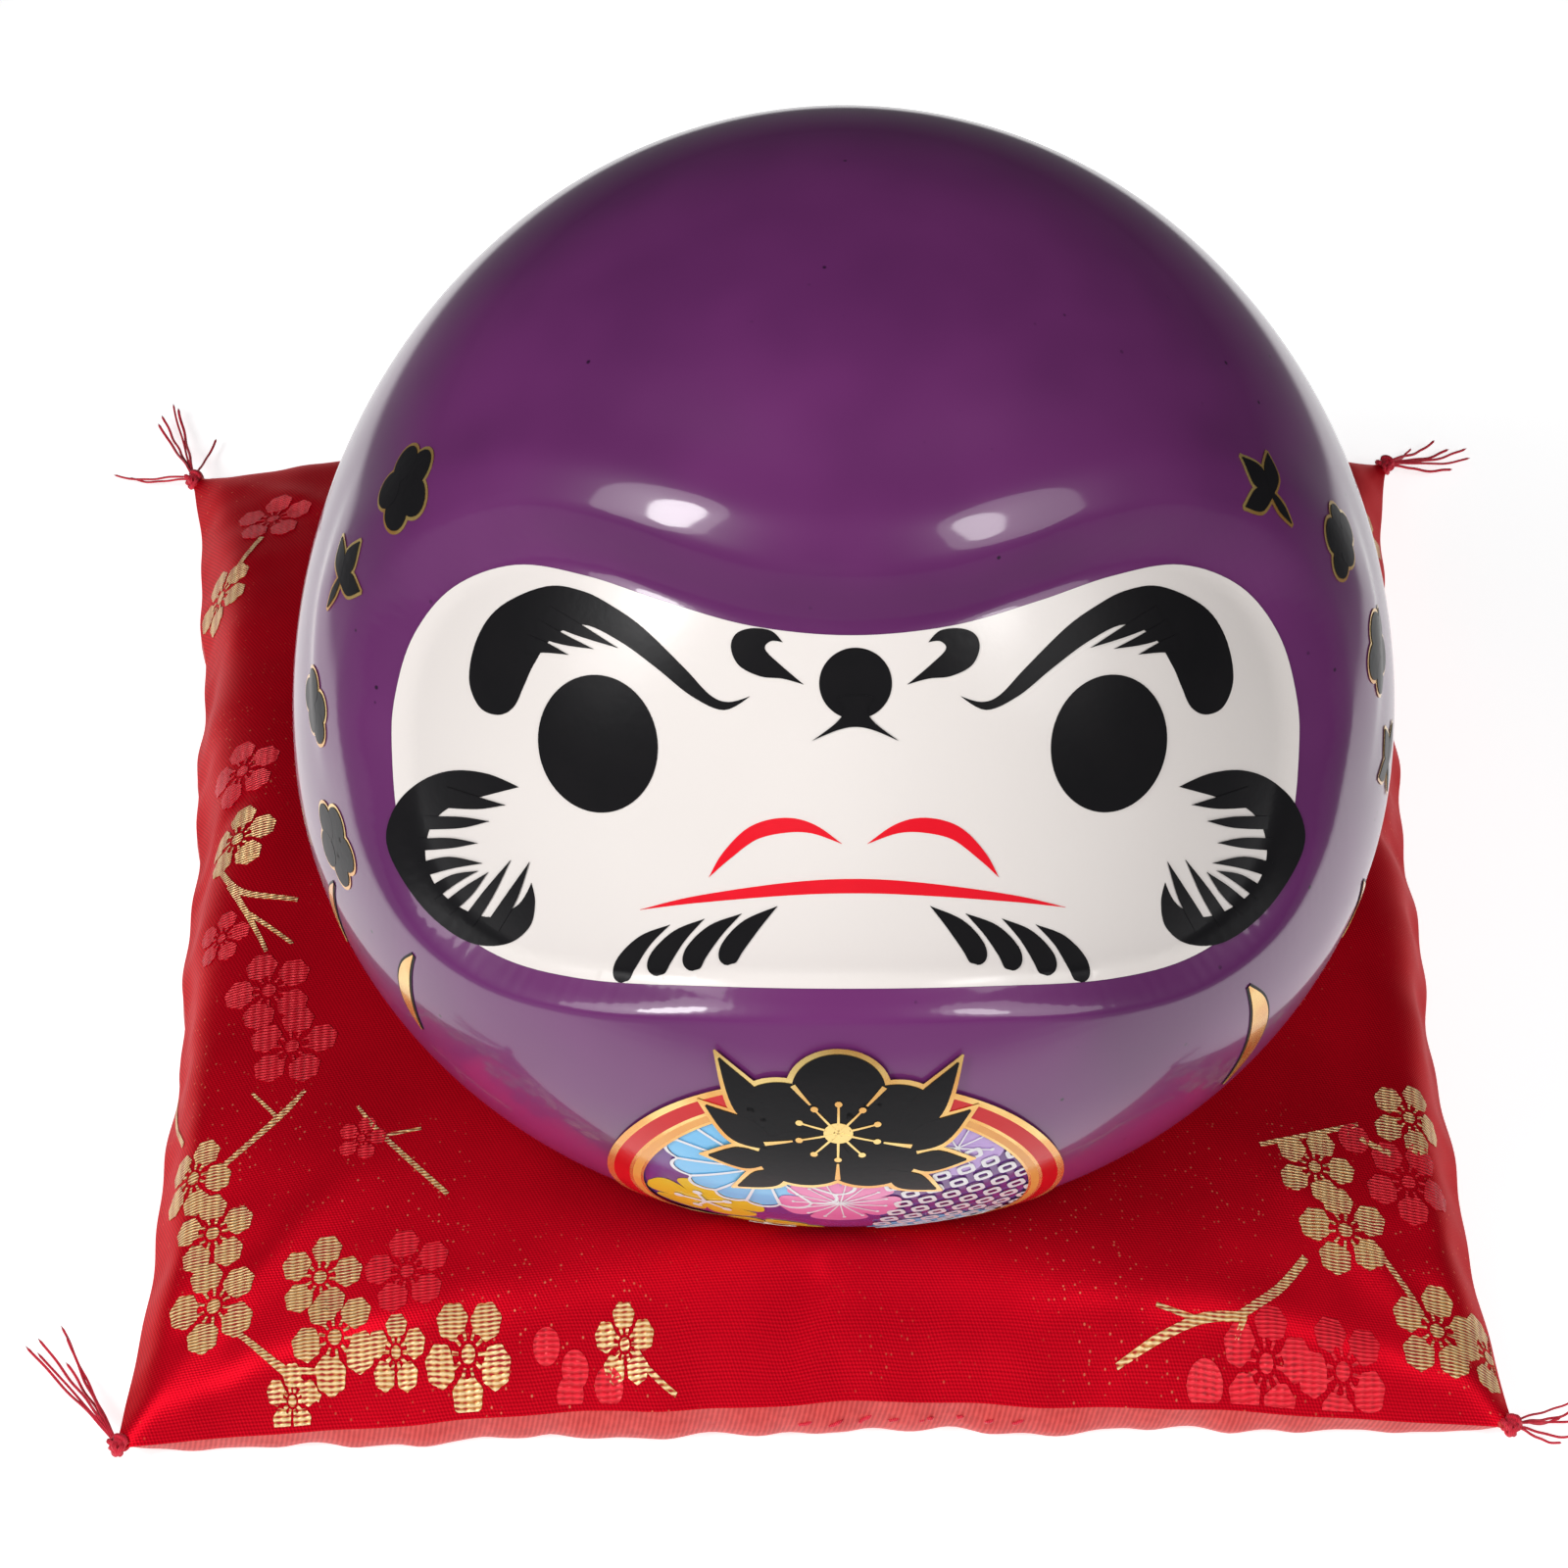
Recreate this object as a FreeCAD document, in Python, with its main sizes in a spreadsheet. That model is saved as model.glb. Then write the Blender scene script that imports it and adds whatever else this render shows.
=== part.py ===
"""Daruma doll on a brocade cushion, as separate pieces.

A hollow glazed doll with a recessed face stands in the dent of a small filled cushion.
The cushion is two cloth panels sewn round the edge over a filling, closed by hand at the
front, with a knot and a tassel at each corner.

Frame: millimetres, +Z up, the doll looks along -Y, +X is to the right of someone facing it.
The origin is the middle of the cushion's underside, on the surface that it lies on.
"""
import FreeCAD, Part
import math
import os
import re

doc = FreeCAD.newDocument("DarumaDoll")
sheet = doc.addObject("Spreadsheet::Sheet", "Sizes")

# Driving sizes, in millimetres, and angles, in degrees.
SIZES = [
    # Doll: two half ellipsoids that share one widest circle, cut flat at the foot.
    ("doll_half_width", 52.0),
    ("doll_crown_rise", 61.0),
    ("doll_belly_depth", 42.0),
    ("foot_radius", 31.0),
    ("doll_wall", 4.0),
    ("base_wall", 4.5),
    ("foot_ring_width", 6.0),
    ("foot_recess", 1.6),
    ("pour_hole_radius", 4.0),
    # Face: an oval window, sunk below the body's surface and tilted back.
    ("face_half_width", 40.0),
    ("face_half_height", 19.0),
    ("face_sink", 2.0),
    ("face_lean", 36.0),
    # Cushion: squares, one above the other, that the two panels are drawn over. Each is set in
    # from the seam by an inset.
    ("cushion_side", 130.0),
    ("base_inset", 12.0),
    ("seam_height", 4.0),
    ("shoulder_inset", 5.0),
    ("shoulder_height", 12.5),
    ("crown_inset", 16.0),
    ("crown_height", 18.5),
    ("top_inset", 35.0),
    ("top_height", 20.5),
    ("cloth", 0.8),
    # Where the doll stands, and how deep it has settled.
    ("seat_height", 14.0),
    ("seat_clearance", 0.3),
    ("doll_right", 3.5),
    ("doll_forward", 14.5),
    # Closing seam, sewn by hand under the front edge.
    ("stitch_count", 8),
    ("stitch_pitch", 3.0),
    ("stitch_length", 1.8),
    ("thread_radius", 0.22),
    ("stitch_gap", 0.06),
    ("closing_right", 9.0),
    # Corner knots and tassels.
    ("knot_radius", 1.5),
    ("knot_gap", 0.02),
    ("knot_drop", 1.0),
    ("tassel_gap", 0.4),
    ("tassel_neck_radius", 0.6),
    ("tassel_end_radius", 1.8),
    ("tassel_length_front_left", 15.0),
    ("tassel_length_front_right", 9.0),
    ("tassel_length_back_left", 14.0),
    ("tassel_length_back_right", 11.0),
    ("tassel_heading_front_left", 128.0),
    ("tassel_heading_front_right", 15.0),
    ("tassel_heading_back_left", 108.0),
    ("tassel_heading_back_right", 33.0),
]

# Sizes that follow from the driving ones, as the sheet's own formulas.
DERIVED = [
    # Height of the widest circle over the foot.
    ("waist_height", "=doll_belly_depth * sqrt(1 - (foot_radius / doll_half_width)^2)"),
    # Place of a knot's middle along each side, so that its surface meets the seam's corner.
    ("knot_reach", "=cushion_side / 2 + sqrt(((knot_radius + knot_gap)^2 - knot_drop^2) / 2)"),
    ("knot_height", "=seam_height - knot_drop"),
    # Distance from the middle of a knot to the neck of its tassel.
    ("neck_reach", "=knot_radius + tassel_gap"),
]

CORNERS = [
    ("front_left", -1, -1),
    ("front_right", 1, -1),
    ("back_left", -1, 1),
    ("back_right", 1, 1),
]


def fill_sheet():
    """Write every size into the sheet, one alias to a row."""
    row = 0
    for alias, value in SIZES + DERIVED:
        row += 1
        sheet.set(f"A{row}", alias)
        sheet.set(f"B{row}", str(value))
        sheet.setAlias(f"B{row}", alias)
    doc.recompute()


def sized(value):
    """Return a size written with the sheet's aliases as an expression on the sheet."""
    return re.sub(r"[a-z_]+_[a-z_]+|cloth", lambda word: f"Sizes.{word.group()}", value)


def add(kind, name, base=(None, None, None), **sizes):
    """Add one object whose sizes, and the three parts of whose place, follow the sheet."""
    item = doc.addObject(kind, name)
    for prop, value in sizes.items():
        item.setExpression(prop, sized(value))
    for part_name, value in zip("xyz", base):
        if value is not None:
            item.setExpression(f"Placement.Base.{part_name}", sized(value))
    return item


def joined(name, *pieces):
    """Return the fusion of several forms."""
    item = doc.addObject("Part::MultiFuse", name)
    item.Shapes = list(pieces)
    return item


def cut(name, base, tool):
    """Return one form less another."""
    item = doc.addObject("Part::Cut", name)
    item.Base = base
    item.Tool = tool
    return item


def common(name, first, second):
    """Return what two forms share."""
    item = doc.addObject("Part::Common", name)
    item.Base = first
    item.Tool = second
    return item


def half_ellipsoid(name, rise, width, middle, upper):
    """Return the upper or lower half of a round ellipsoid about the Z axis."""
    item = add("Part::Ellipsoid", name, (None, None, middle), Radius1=rise, Radius2=width, Radius3=width)
    item.Angle1 = 0 if upper else -90
    item.Angle2 = 90 if upper else 0
    return item


def doll_form(name, inset):
    """Return the doll's egg form, less an inset all over, with its foot's plane at z = 0."""
    crown = half_ellipsoid(f"{name}_crown", f"doll_crown_rise - {inset}", f"doll_half_width - {inset}",
                           "waist_height", True)
    belly = half_ellipsoid(f"{name}_belly", f"doll_belly_depth - {inset}", f"doll_half_width - {inset}",
                           "waist_height", False)
    return joined(f"{name}_form", crown, belly)


def face_window():
    """Return the prism that runs out through the oval face, along the way that the face looks."""
    outline = add("Part::Ellipse", "face_outline", (None, None, "waist_height"),
                  MajorRadius="face_half_width", MinorRadius="face_half_height")
    outline.Placement.Rotation = FreeCAD.Rotation(FreeCAD.Vector(1, 0, 0), 90)
    outline.setExpression("Placement.Rotation.Angle", sized("90 - face_lean"))
    prism = doc.addObject("Part::Extrusion", "face_prism")
    prism.Base = outline
    prism.DirMode = "Normal"
    prism.Solid = True
    prism.Reversed = True
    prism.setExpression("LengthFwd", sized("doll_half_width * 2"))
    return prism


def ceramic_shell():
    """Hollow doll: egg-shaped wall, sunk face, foot ring and the small hole in its base."""
    outer = doll_form("outer", "0")
    below = add("Part::Cylinder", "below_foot", (None, None, "0 - doll_belly_depth"),
                Radius="doll_half_width * 2", Height="doll_belly_depth")
    stood = cut("stood_form", outer, below)

    hollow = doll_form("hollow", "doll_wall")
    floor_slab = add("Part::Cylinder", "base_slab", (None, None, "0 - doll_belly_depth"),
                     Radius="doll_half_width * 2", Height="doll_belly_depth + foot_recess + base_wall")
    cavity = cut("cavity", hollow, floor_slab)

    recess = add("Part::Cylinder", "foot_recess_form", (None, None, "0 - foot_recess"),
                 Radius="foot_radius - foot_ring_width", Height="foot_recess * 2")
    hole = add("Part::Cylinder", "pour_hole", (None, None, "0 - foot_recess"),
               Radius="pour_hole_radius", Height="waist_height")

    sunk = cut("face_sink_form", face_window(), doll_form("face", "face_sink"))
    tools = joined("shell_tools", cavity, recess, hole, sunk)
    shell = cut("ceramic_shell", stood, tools)
    shell.setExpression("Placement.Base.x", sized("doll_right"))
    shell.setExpression("Placement.Base.y", sized("0 - doll_forward"))
    shell.setExpression("Placement.Base.z", sized("seat_height"))
    return shell


def square(name, inset, height):
    """Return a square wire about the Z axis, square to X and Y, set in from the cushion's seam."""
    item = add("Part::RegularPolygon", name, (None, None, height),
               Circumradius=f"(cushion_side - 2 * ({inset})) / sqrt(2)")
    item.Polygon = 4
    item.Placement.Rotation = FreeCAD.Rotation(FreeCAD.Vector(0, 0, 1), 45)
    return item


def drawn_over(name, levels):
    """Return the closed form that passes through squares given from the lowest to the highest."""
    loft = doc.addObject("Part::Loft", name)
    loft.Sections = [square(f"{name}_{index}", inset, height) for index, (inset, height) in enumerate(levels)]
    loft.Solid = True
    loft.Ruled = False
    return loft


def upper_half(name, inset):
    """Return the cushion's form over its seam, less an inset."""
    return drawn_over(name, [
        (inset, "seam_height"),
        (f"shoulder_inset + {inset}", f"shoulder_height - {inset}"),
        (f"crown_inset + {inset}", f"crown_height - {inset}"),
        (f"top_inset + {inset}", f"top_height - {inset}"),
    ])


def lower_half(name, inset):
    """Return the cushion's form under its seam, less an inset."""
    return drawn_over(name, [(f"base_inset + {inset}", inset), (inset, "seam_height")])


def dent(name, growth):
    """Return the space that the doll takes in the cushion, grown by some thickness of cloth."""
    belly = add("Part::Ellipsoid", f"{name}_belly",
                ("doll_right", "0 - doll_forward", "seat_height + waist_height"),
                Radius1=f"doll_belly_depth + seat_clearance + {growth}",
                Radius2=f"doll_half_width + seat_clearance + {growth}",
                Radius3=f"doll_half_width + seat_clearance + {growth}")
    above = add("Part::Cylinder", f"{name}_above", ("doll_right", "0 - doll_forward", f"seat_height - {growth}"),
                Radius="doll_half_width * 2", Height="doll_crown_rise + doll_belly_depth")
    return common(name, belly, above)


def cushion():
    """Filling and the two panels sewn together round it."""
    filled = joined("filling_form", upper_half("filling_upper", "cloth"), lower_half("filling_lower", "cloth"))
    wadding = cut("wadding", filled, dent("filling_dent", "cloth"))
    covered = cut("dented_upper", upper_half("cover_upper", "0"), dent("cover_dent", "0"))
    top_panel = cut("brocade_top_panel", covered, wadding)
    bottom_panel = cut("twill_bottom_panel", lower_half("cover_lower", "0"), wadding)
    return [wadding, top_panel, bottom_panel]


def closing_stitches():
    """Row of hand stitches over the front seam, where the filling went in."""
    row = []
    count = int(sheet.stitch_count)
    for index in range(count):
        start = f"closing_right + ({index} - (stitch_count - 1) / 2) * stitch_pitch - stitch_length / 2"
        stitch = add("Part::Cylinder", f"stitch_{index + 1}",
                     (start, "0 - cushion_side / 2 - thread_radius - stitch_gap", "seam_height"),
                     Radius="thread_radius", Height="stitch_length")
        stitch.Placement.Rotation = FreeCAD.Rotation(FreeCAD.Vector(0, 1, 0), 90)
        row.append(stitch)
    stitches = doc.addObject("Part::Compound", "closing_stitches")
    stitches.Links = row
    return stitches


def corner_knot(corner, side_x, side_y):
    """Knot of thread sewn to one corner."""
    return add("Part::Sphere", f"corner_knot_{corner}",
               (f"{side_x} * knot_reach", f"{side_y} * knot_reach", "knot_height"),
               Radius="knot_radius")


def tassel(corner, side_x, side_y):
    """Bundle of loose threads that leaves a knot along its heading and widens to rest on the table."""
    heading = math.radians(sheet.get(f"tassel_heading_{corner}"))
    length = f"tassel_length_{corner}"
    along_x = f"{side_x} * knot_reach + neck_reach * cos(tassel_heading_{corner} * 1 deg)"
    along_y = f"{side_y} * knot_reach + neck_reach * sin(tassel_heading_{corner} * 1 deg)"
    bundle = add("Part::Cone", f"tassel_{corner}", (along_x, along_y, "knot_height"),
                 Radius1="tassel_neck_radius", Radius2="tassel_end_radius", Height=length)
    across = FreeCAD.Vector(-math.sin(heading), math.cos(heading), 0)
    drop = math.asin((sheet.knot_height - sheet.tassel_end_radius) / sheet.get(length))
    bundle.Placement.Rotation = FreeCAD.Rotation(across, 90 + math.degrees(drop) * 0.9)
    return bundle


def check_document():
    """Stop if any object failed, or any kept piece has no valid solid."""
    for item in doc.Objects:
        if "Invalid" in item.State or "Error" in item.State:
            raise RuntimeError(f"{item.Label}: {item.State}")


def write_parts(pieces):
    """Write each piece's solids to its own file."""
    os.makedirs("parts", exist_ok=True)
    for piece in pieces:
        shape = piece.Shape
        if shape.isNull() or not shape.isValid() or not shape.Solids:
            raise RuntimeError(f"{piece.Label}: no valid solid")
        shape.exportStep(f"parts/{piece.Label}.step")
        box = shape.optimalBoundingBox()
        print(f"{piece.Label:28s} solids {len(shape.Solids)}  volume {shape.Volume:10.1f}  "
              f"z {box.ZMin:.2f}..{box.ZMax:.2f}")


fill_sheet()
pieces = [ceramic_shell()]
pieces += cushion()
pieces.append(closing_stitches())
for corner_name, corner_x, corner_y in CORNERS:
    pieces.append(corner_knot(corner_name, corner_x, corner_y))
    pieces.append(tassel(corner_name, corner_x, corner_y))
doc.recompute()
check_document()
write_parts(pieces)
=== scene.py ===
"""Looks of a glazed daruma doll on its brocade cushion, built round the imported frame.

Every length is in metres in the frame's own axes: +Z up, the doll looks along -Y. Outlines of the
painted decoration are drawn in millimetres on a flat plane and laid on the glaze.
"""

import logging
import math
from dataclasses import dataclass, field
from enum import Enum
from typing import Callable, Iterable, Sequence

import bpy
import numpy as np
from mathutils import Matrix, Vector


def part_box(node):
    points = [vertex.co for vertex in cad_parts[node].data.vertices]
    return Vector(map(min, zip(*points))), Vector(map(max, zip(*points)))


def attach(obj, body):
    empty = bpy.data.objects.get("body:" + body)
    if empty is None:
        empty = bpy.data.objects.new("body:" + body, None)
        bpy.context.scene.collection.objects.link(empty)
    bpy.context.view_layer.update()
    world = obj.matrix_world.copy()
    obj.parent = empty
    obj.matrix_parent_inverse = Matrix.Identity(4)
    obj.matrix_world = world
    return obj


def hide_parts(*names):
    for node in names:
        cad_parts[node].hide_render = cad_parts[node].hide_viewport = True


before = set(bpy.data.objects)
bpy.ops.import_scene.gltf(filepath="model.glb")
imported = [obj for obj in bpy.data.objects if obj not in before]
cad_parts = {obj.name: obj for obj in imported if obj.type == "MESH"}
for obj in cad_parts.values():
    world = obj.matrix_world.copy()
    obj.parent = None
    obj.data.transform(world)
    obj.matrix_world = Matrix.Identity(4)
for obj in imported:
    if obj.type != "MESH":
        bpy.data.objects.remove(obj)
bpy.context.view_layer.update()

LOG = logging.getLogger("daruma")
MM = 0.001

Point = tuple[float, ...]
Colour = tuple[float, float, float]


class Side(Enum):
    """The viewer's left and right, as the sign of X."""

    LEFT = -1
    RIGHT = 1


class Corner(Enum):
    """The cushion's corners, as the signs of X and Y."""

    front_left = (-1, -1)
    front_right = (1, -1)
    back_left = (-1, 1)
    back_right = (1, 1)


# ---------------------------------------------------------------------------------------------
# Small tools


def select_only(obj: bpy.types.Object) -> bpy.types.Object:
    """Make one object the only selected one, and the active one.

    Args:
        obj: The object to select.

    Returns:
        The same object.
    """
    if bpy.context.object is not None and bpy.context.object.mode != "OBJECT":
        bpy.ops.object.mode_set(mode="OBJECT")
    bpy.ops.object.select_all(action="DESELECT")
    obj.select_set(True)
    bpy.context.view_layer.objects.active = obj
    return obj


def apply_modifiers(obj: bpy.types.Object) -> None:
    """Apply every modifier of an object, in order.

    Args:
        obj: The object.
    """
    select_only(obj)
    for name in [modifier.name for modifier in obj.modifiers]:
        bpy.ops.object.modifier_apply(modifier=name)


def settle(obj: bpy.types.Object) -> None:
    """Move an object's place, turn and scale into its mesh."""
    select_only(obj)
    bpy.ops.object.transform_apply(location=True, rotation=True, scale=True)


def joined(name: str, objects: Sequence[bpy.types.Object]) -> bpy.types.Object:
    """Join several meshes into one object.

    Args:
        name: Name of the result.
        objects: The meshes, at least one.

    Returns:
        The joined object.
    """
    select_only(objects[0])
    for obj in objects:
        obj.select_set(True)
    if len(objects) > 1:
        bpy.ops.object.join()
    result = bpy.context.view_layer.objects.active
    result.name = name
    result.data.name = name
    return result


def smooth(obj: bpy.types.Object, degrees: float = 40.0) -> None:
    """Shade an object smooth, with edges sharper than an angle left sharp."""
    select_only(obj)
    bpy.ops.object.shade_smooth_by_angle(angle=math.radians(degrees))


def edit(obj: bpy.types.Object) -> None:
    """Open an object in edit mode with everything selected.

    Args:
        obj: The object.
    """
    select_only(obj)
    bpy.ops.object.mode_set(mode="EDIT")
    bpy.ops.mesh.select_all(action="SELECT")


def leave_edit() -> None:
    """Go back to object mode."""
    bpy.ops.object.mode_set(mode="OBJECT")


def coordinates(obj: bpy.types.Object) -> np.ndarray:
    """Read an object's vertices.

    Args:
        obj: The object.

    Returns:
        Array of shape (count, 3).
    """
    values = np.empty(len(obj.data.vertices) * 3)
    obj.data.vertices.foreach_get("co", values)
    return values.reshape(-1, 3)


def place_vertices(obj: bpy.types.Object, values: np.ndarray) -> None:
    """Set an object's vertices from an array of shape (count, 3)."""
    obj.data.vertices.foreach_set("co", np.asarray(values, float).ravel())
    obj.data.update()


def smoothstep(low: float, high: float, values: np.ndarray) -> np.ndarray:
    """Return a smooth 0 to 1 step of values between low and high."""
    share = np.clip((values - low) / (high - low), 0.0, 1.0)
    return share * share * (3.0 - 2.0 * share)


def curve_through(points: Sequence[Point], per_run: int, closed: bool) -> np.ndarray:
    """Return points along a smooth curve through a few given ones.

    A point whose last value is the text "sharp" keeps a corner.

    Args:
        points: The points, of any number of coordinates each.
        per_run: How many points each run gets.
        closed: Whether the curve comes back to its start.

    Returns:
        An array with one row for each point of the curve.
    """
    corner = [point[-1] == "sharp" for point in points]
    given = np.array([point[:-1] if sharp else point for point, sharp in zip(points, corner)], float)
    count = len(given)
    tangent = np.zeros_like(given)
    for index in range(count):
        if corner[index]:
            continue
        before = (index - 1) % count if closed else max(index - 1, 0)
        after = (index + 1) % count if closed else min(index + 1, count - 1)
        tangent[index] = (given[after] - given[before]) / 2.0
    rows = []
    for index in range(count if closed else count - 1):
        after = (index + 1) % count
        for step in range(per_run):
            t = step / per_run
            rows.append(
                (2 * t**3 - 3 * t**2 + 1) * given[index] + (t**3 - 2 * t**2 + t) * tangent[index]
                + (3 * t**2 - 2 * t**3) * given[after] + (t**3 - t**2) * tangent[after]
            )
    if not closed:
        rows.append(given[-1])
    return np.array(rows)


def distance_outside(points: np.ndarray, outline: np.ndarray) -> np.ndarray:
    """Return how far flat points are outside a closed outline, negative inside it.

    Args:
        points: Array of shape (count, 2).
        outline: Array of the outline's corners, in order.

    Returns:
        One signed distance for each point.
    """
    nearest = np.full(len(points), np.inf)
    inside = np.zeros(len(points), bool)
    for start, end in zip(outline, np.roll(outline, -1, axis=0)):
        run = end - start
        along = np.clip(((points - start) @ run) / max(run @ run, 1e-12), 0.0, 1.0)
        nearest = np.minimum(nearest, np.linalg.norm(points - start - along[:, None] * run, axis=1))
        crosses = (start[1] > points[:, 1]) != (end[1] > points[:, 1])
        rise = end[1] - start[1]
        at = start[0] + (points[:, 1] - start[1]) * run[0] / (rise if abs(rise) > 1e-12 else 1e-12)
        inside ^= crosses & (points[:, 0] < at)
    return np.where(inside, -nearest, nearest)


# ---------------------------------------------------------------------------------------------
# Finishes


class Shading:
    """One material's node tree, with short calls that add nodes and join them."""

    def __init__(self, name: str) -> None:
        """Start an empty material.

        Args:
            name: Name of the material.
        """
        self.material = bpy.data.materials.new(name)
        self.material.use_nodes = True
        self.tree = self.material.node_tree
        self.surface = self.tree.nodes["Principled BSDF"]

    def node(self, kind: str, inputs: dict | None = None, **settings: object) -> bpy.types.Node:
        """Add a node.

        Args:
            kind: The node's type, without its ShaderNode prefix.
            inputs: Socket name or number to a value, or to a socket to join.
            settings: Properties of the node.

        Returns:
            The new node.
        """
        made = self.tree.nodes.new("ShaderNode" + kind)
        for key, value in settings.items():
            setattr(made, key, value)
        for key, value in (inputs or {}).items():
            self.feed(made.inputs[key], value)
        return made

    def feed(self, socket: bpy.types.NodeSocket, value: object) -> None:
        """Give a socket a value, or join another socket to it.

        Args:
            socket: The input.
            value: The value or the output to join.
        """
        if isinstance(value, bpy.types.NodeSocket):
            self.tree.links.new(value, socket)
        else:
            socket.default_value = value

    def maths(self, operation: str, *values: object) -> bpy.types.NodeSocket:
        """Add a Math node.

        Args:
            operation: What it does.
            values: One to three values or sockets.

        Returns:
            Its result.
        """
        made = self.node("Math", operation=operation)
        for index, value in enumerate(values):
            self.feed(made.inputs[index], value)
        return made.outputs[0]

    def mix(self, share: object, first: object, second: object) -> bpy.types.NodeSocket:
        """Mix two colours.

        Args:
            share: How much of the second one, from 0 to 1.
            first: The first colour or socket.
            second: The second colour or socket.

        Returns:
            The mixed colour.
        """
        made = self.node("Mix", data_type="RGBA")
        self.feed(made.inputs[0], share)
        self.feed(made.inputs[6], first)
        self.feed(made.inputs[7], second)
        return made.outputs[2]

    def band(self, value: object, low: float, high: float) -> bpy.types.NodeSocket:
        """Return a smooth 0 to 1 step of a value from low to high."""
        made = self.node("MapRange", {0: value, 1: low, 2: high}, interpolation_type="SMOOTHSTEP")
        return made.outputs[0]

    def bump(self, height: object, strength: float, depth: float) -> None:
        """Give the surface a bump of a height socket."""
        made = self.node("Bump", {"Strength": strength, "Distance": depth, "Height": height})
        self.feed(self.surface.inputs["Normal"], made.outputs[0])

    def set(self, **values: object) -> None:
        """Set sockets of the surface, named with underscores for spaces."""
        for key, value in values.items():
            self.feed(self.surface.inputs[key.replace("_", " ")], value)


def rgba(colour: Colour) -> tuple[float, float, float, float]:
    """Return a colour with full alpha."""
    return (*colour, 1.0)


@dataclass(frozen=True)
class GlazeFinish:
    """Deep glossy glaze over a cast body, with fine dark specks and a slow drift of tone."""

    name: str = "purple_glaze"
    light: Colour = (0.160, 0.028, 0.150)
    deep: Colour = (0.112, 0.019, 0.108)
    speck: Colour = (0.020, 0.004, 0.024)
    roughness: float = 0.36
    clear_roughness: float = 0.07

    def build(self) -> bpy.types.Material:
        """Return the material."""
        shading = Shading(self.name)
        place = shading.node("TexCoord").outputs["Object"]
        drift = shading.node("TexNoise", {"Vector": place, "Scale": 28.0, "Detail": 3.0}).outputs[0]
        tone = shading.mix(shading.band(drift, 0.35, 0.65), rgba(self.deep), rgba(self.light))
        cells = shading.node("TexVoronoi", {"Vector": place, "Scale": 420.0}).outputs["Distance"]
        patch = shading.node("TexNoise", {"Vector": place, "Scale": 160.0, "Detail": 1.0}).outputs[0]
        near = shading.band(cells, 0.11, 0.05)
        specks = shading.maths("MULTIPLY", near, shading.band(patch, 0.58, 0.66))
        shading.set(Base_Color=shading.mix(specks, tone, rgba(self.speck)), Roughness=self.roughness)
        shading.set(IOR=1.5, Specular_IOR_Level=0.28, Coat_Weight=0.72, Coat_Roughness=self.clear_roughness)
        ripple = shading.node("TexNoise", {"Vector": place, "Scale": 55.0, "Detail": 1.0}).outputs[0]
        shading.bump(ripple, 0.10, 0.0004)
        return shading.material


@dataclass(frozen=True)
class PrintFinish:
    """Fired decoration under the clear glaze, in one ink, a little uneven in tone."""

    name: str
    ink: Colour
    shade: Colour
    roughness: float = 0.16
    scale: float = 260.0
    gloss: float = 0.45

    def build(self) -> bpy.types.Material:
        """Return the material."""
        shading = Shading(self.name)
        place = shading.node("TexCoord").outputs["Object"]
        grain = shading.node("TexNoise", {"Vector": place, "Scale": self.scale, "Detail": 4.0}).outputs[0]
        shading.set(Base_Color=shading.mix(grain, rgba(self.ink), rgba(self.shade)))
        shading.set(Roughness=self.roughness, IOR=1.5, Specular_IOR_Level=self.gloss)
        fine = shading.node("TexNoise", {"Vector": place, "Scale": 1400.0, "Detail": 2.0}).outputs[0]
        shading.bump(fine, 0.12, 0.0001)
        return shading.material


@dataclass(frozen=True)
class GiltFinish:
    """Bright fired gold, brushed on thinly so that it turns orange where it is thick."""

    name: str = "fired_gold"
    bright: Colour = (0.86, 0.62, 0.22)
    warm: Colour = (0.72, 0.34, 0.07)
    metallic: float = 0.75
    roughness: float = 0.26

    def build(self) -> bpy.types.Material:
        """Return the material."""
        shading = Shading(self.name)
        place = shading.node("TexCoord").outputs["Object"]
        drift = shading.node("TexNoise", {"Vector": place, "Scale": 170.0, "Detail": 3.0}).outputs[0]
        thick = shading.band(drift, 0.35, 0.7)
        shading.set(Base_Color=shading.mix(thick, rgba(self.bright), rgba(self.warm)))
        shading.set(Metallic=self.metallic, Roughness=self.roughness, Coat_Weight=0.5, Coat_Roughness=0.06)
        return shading.material


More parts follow.
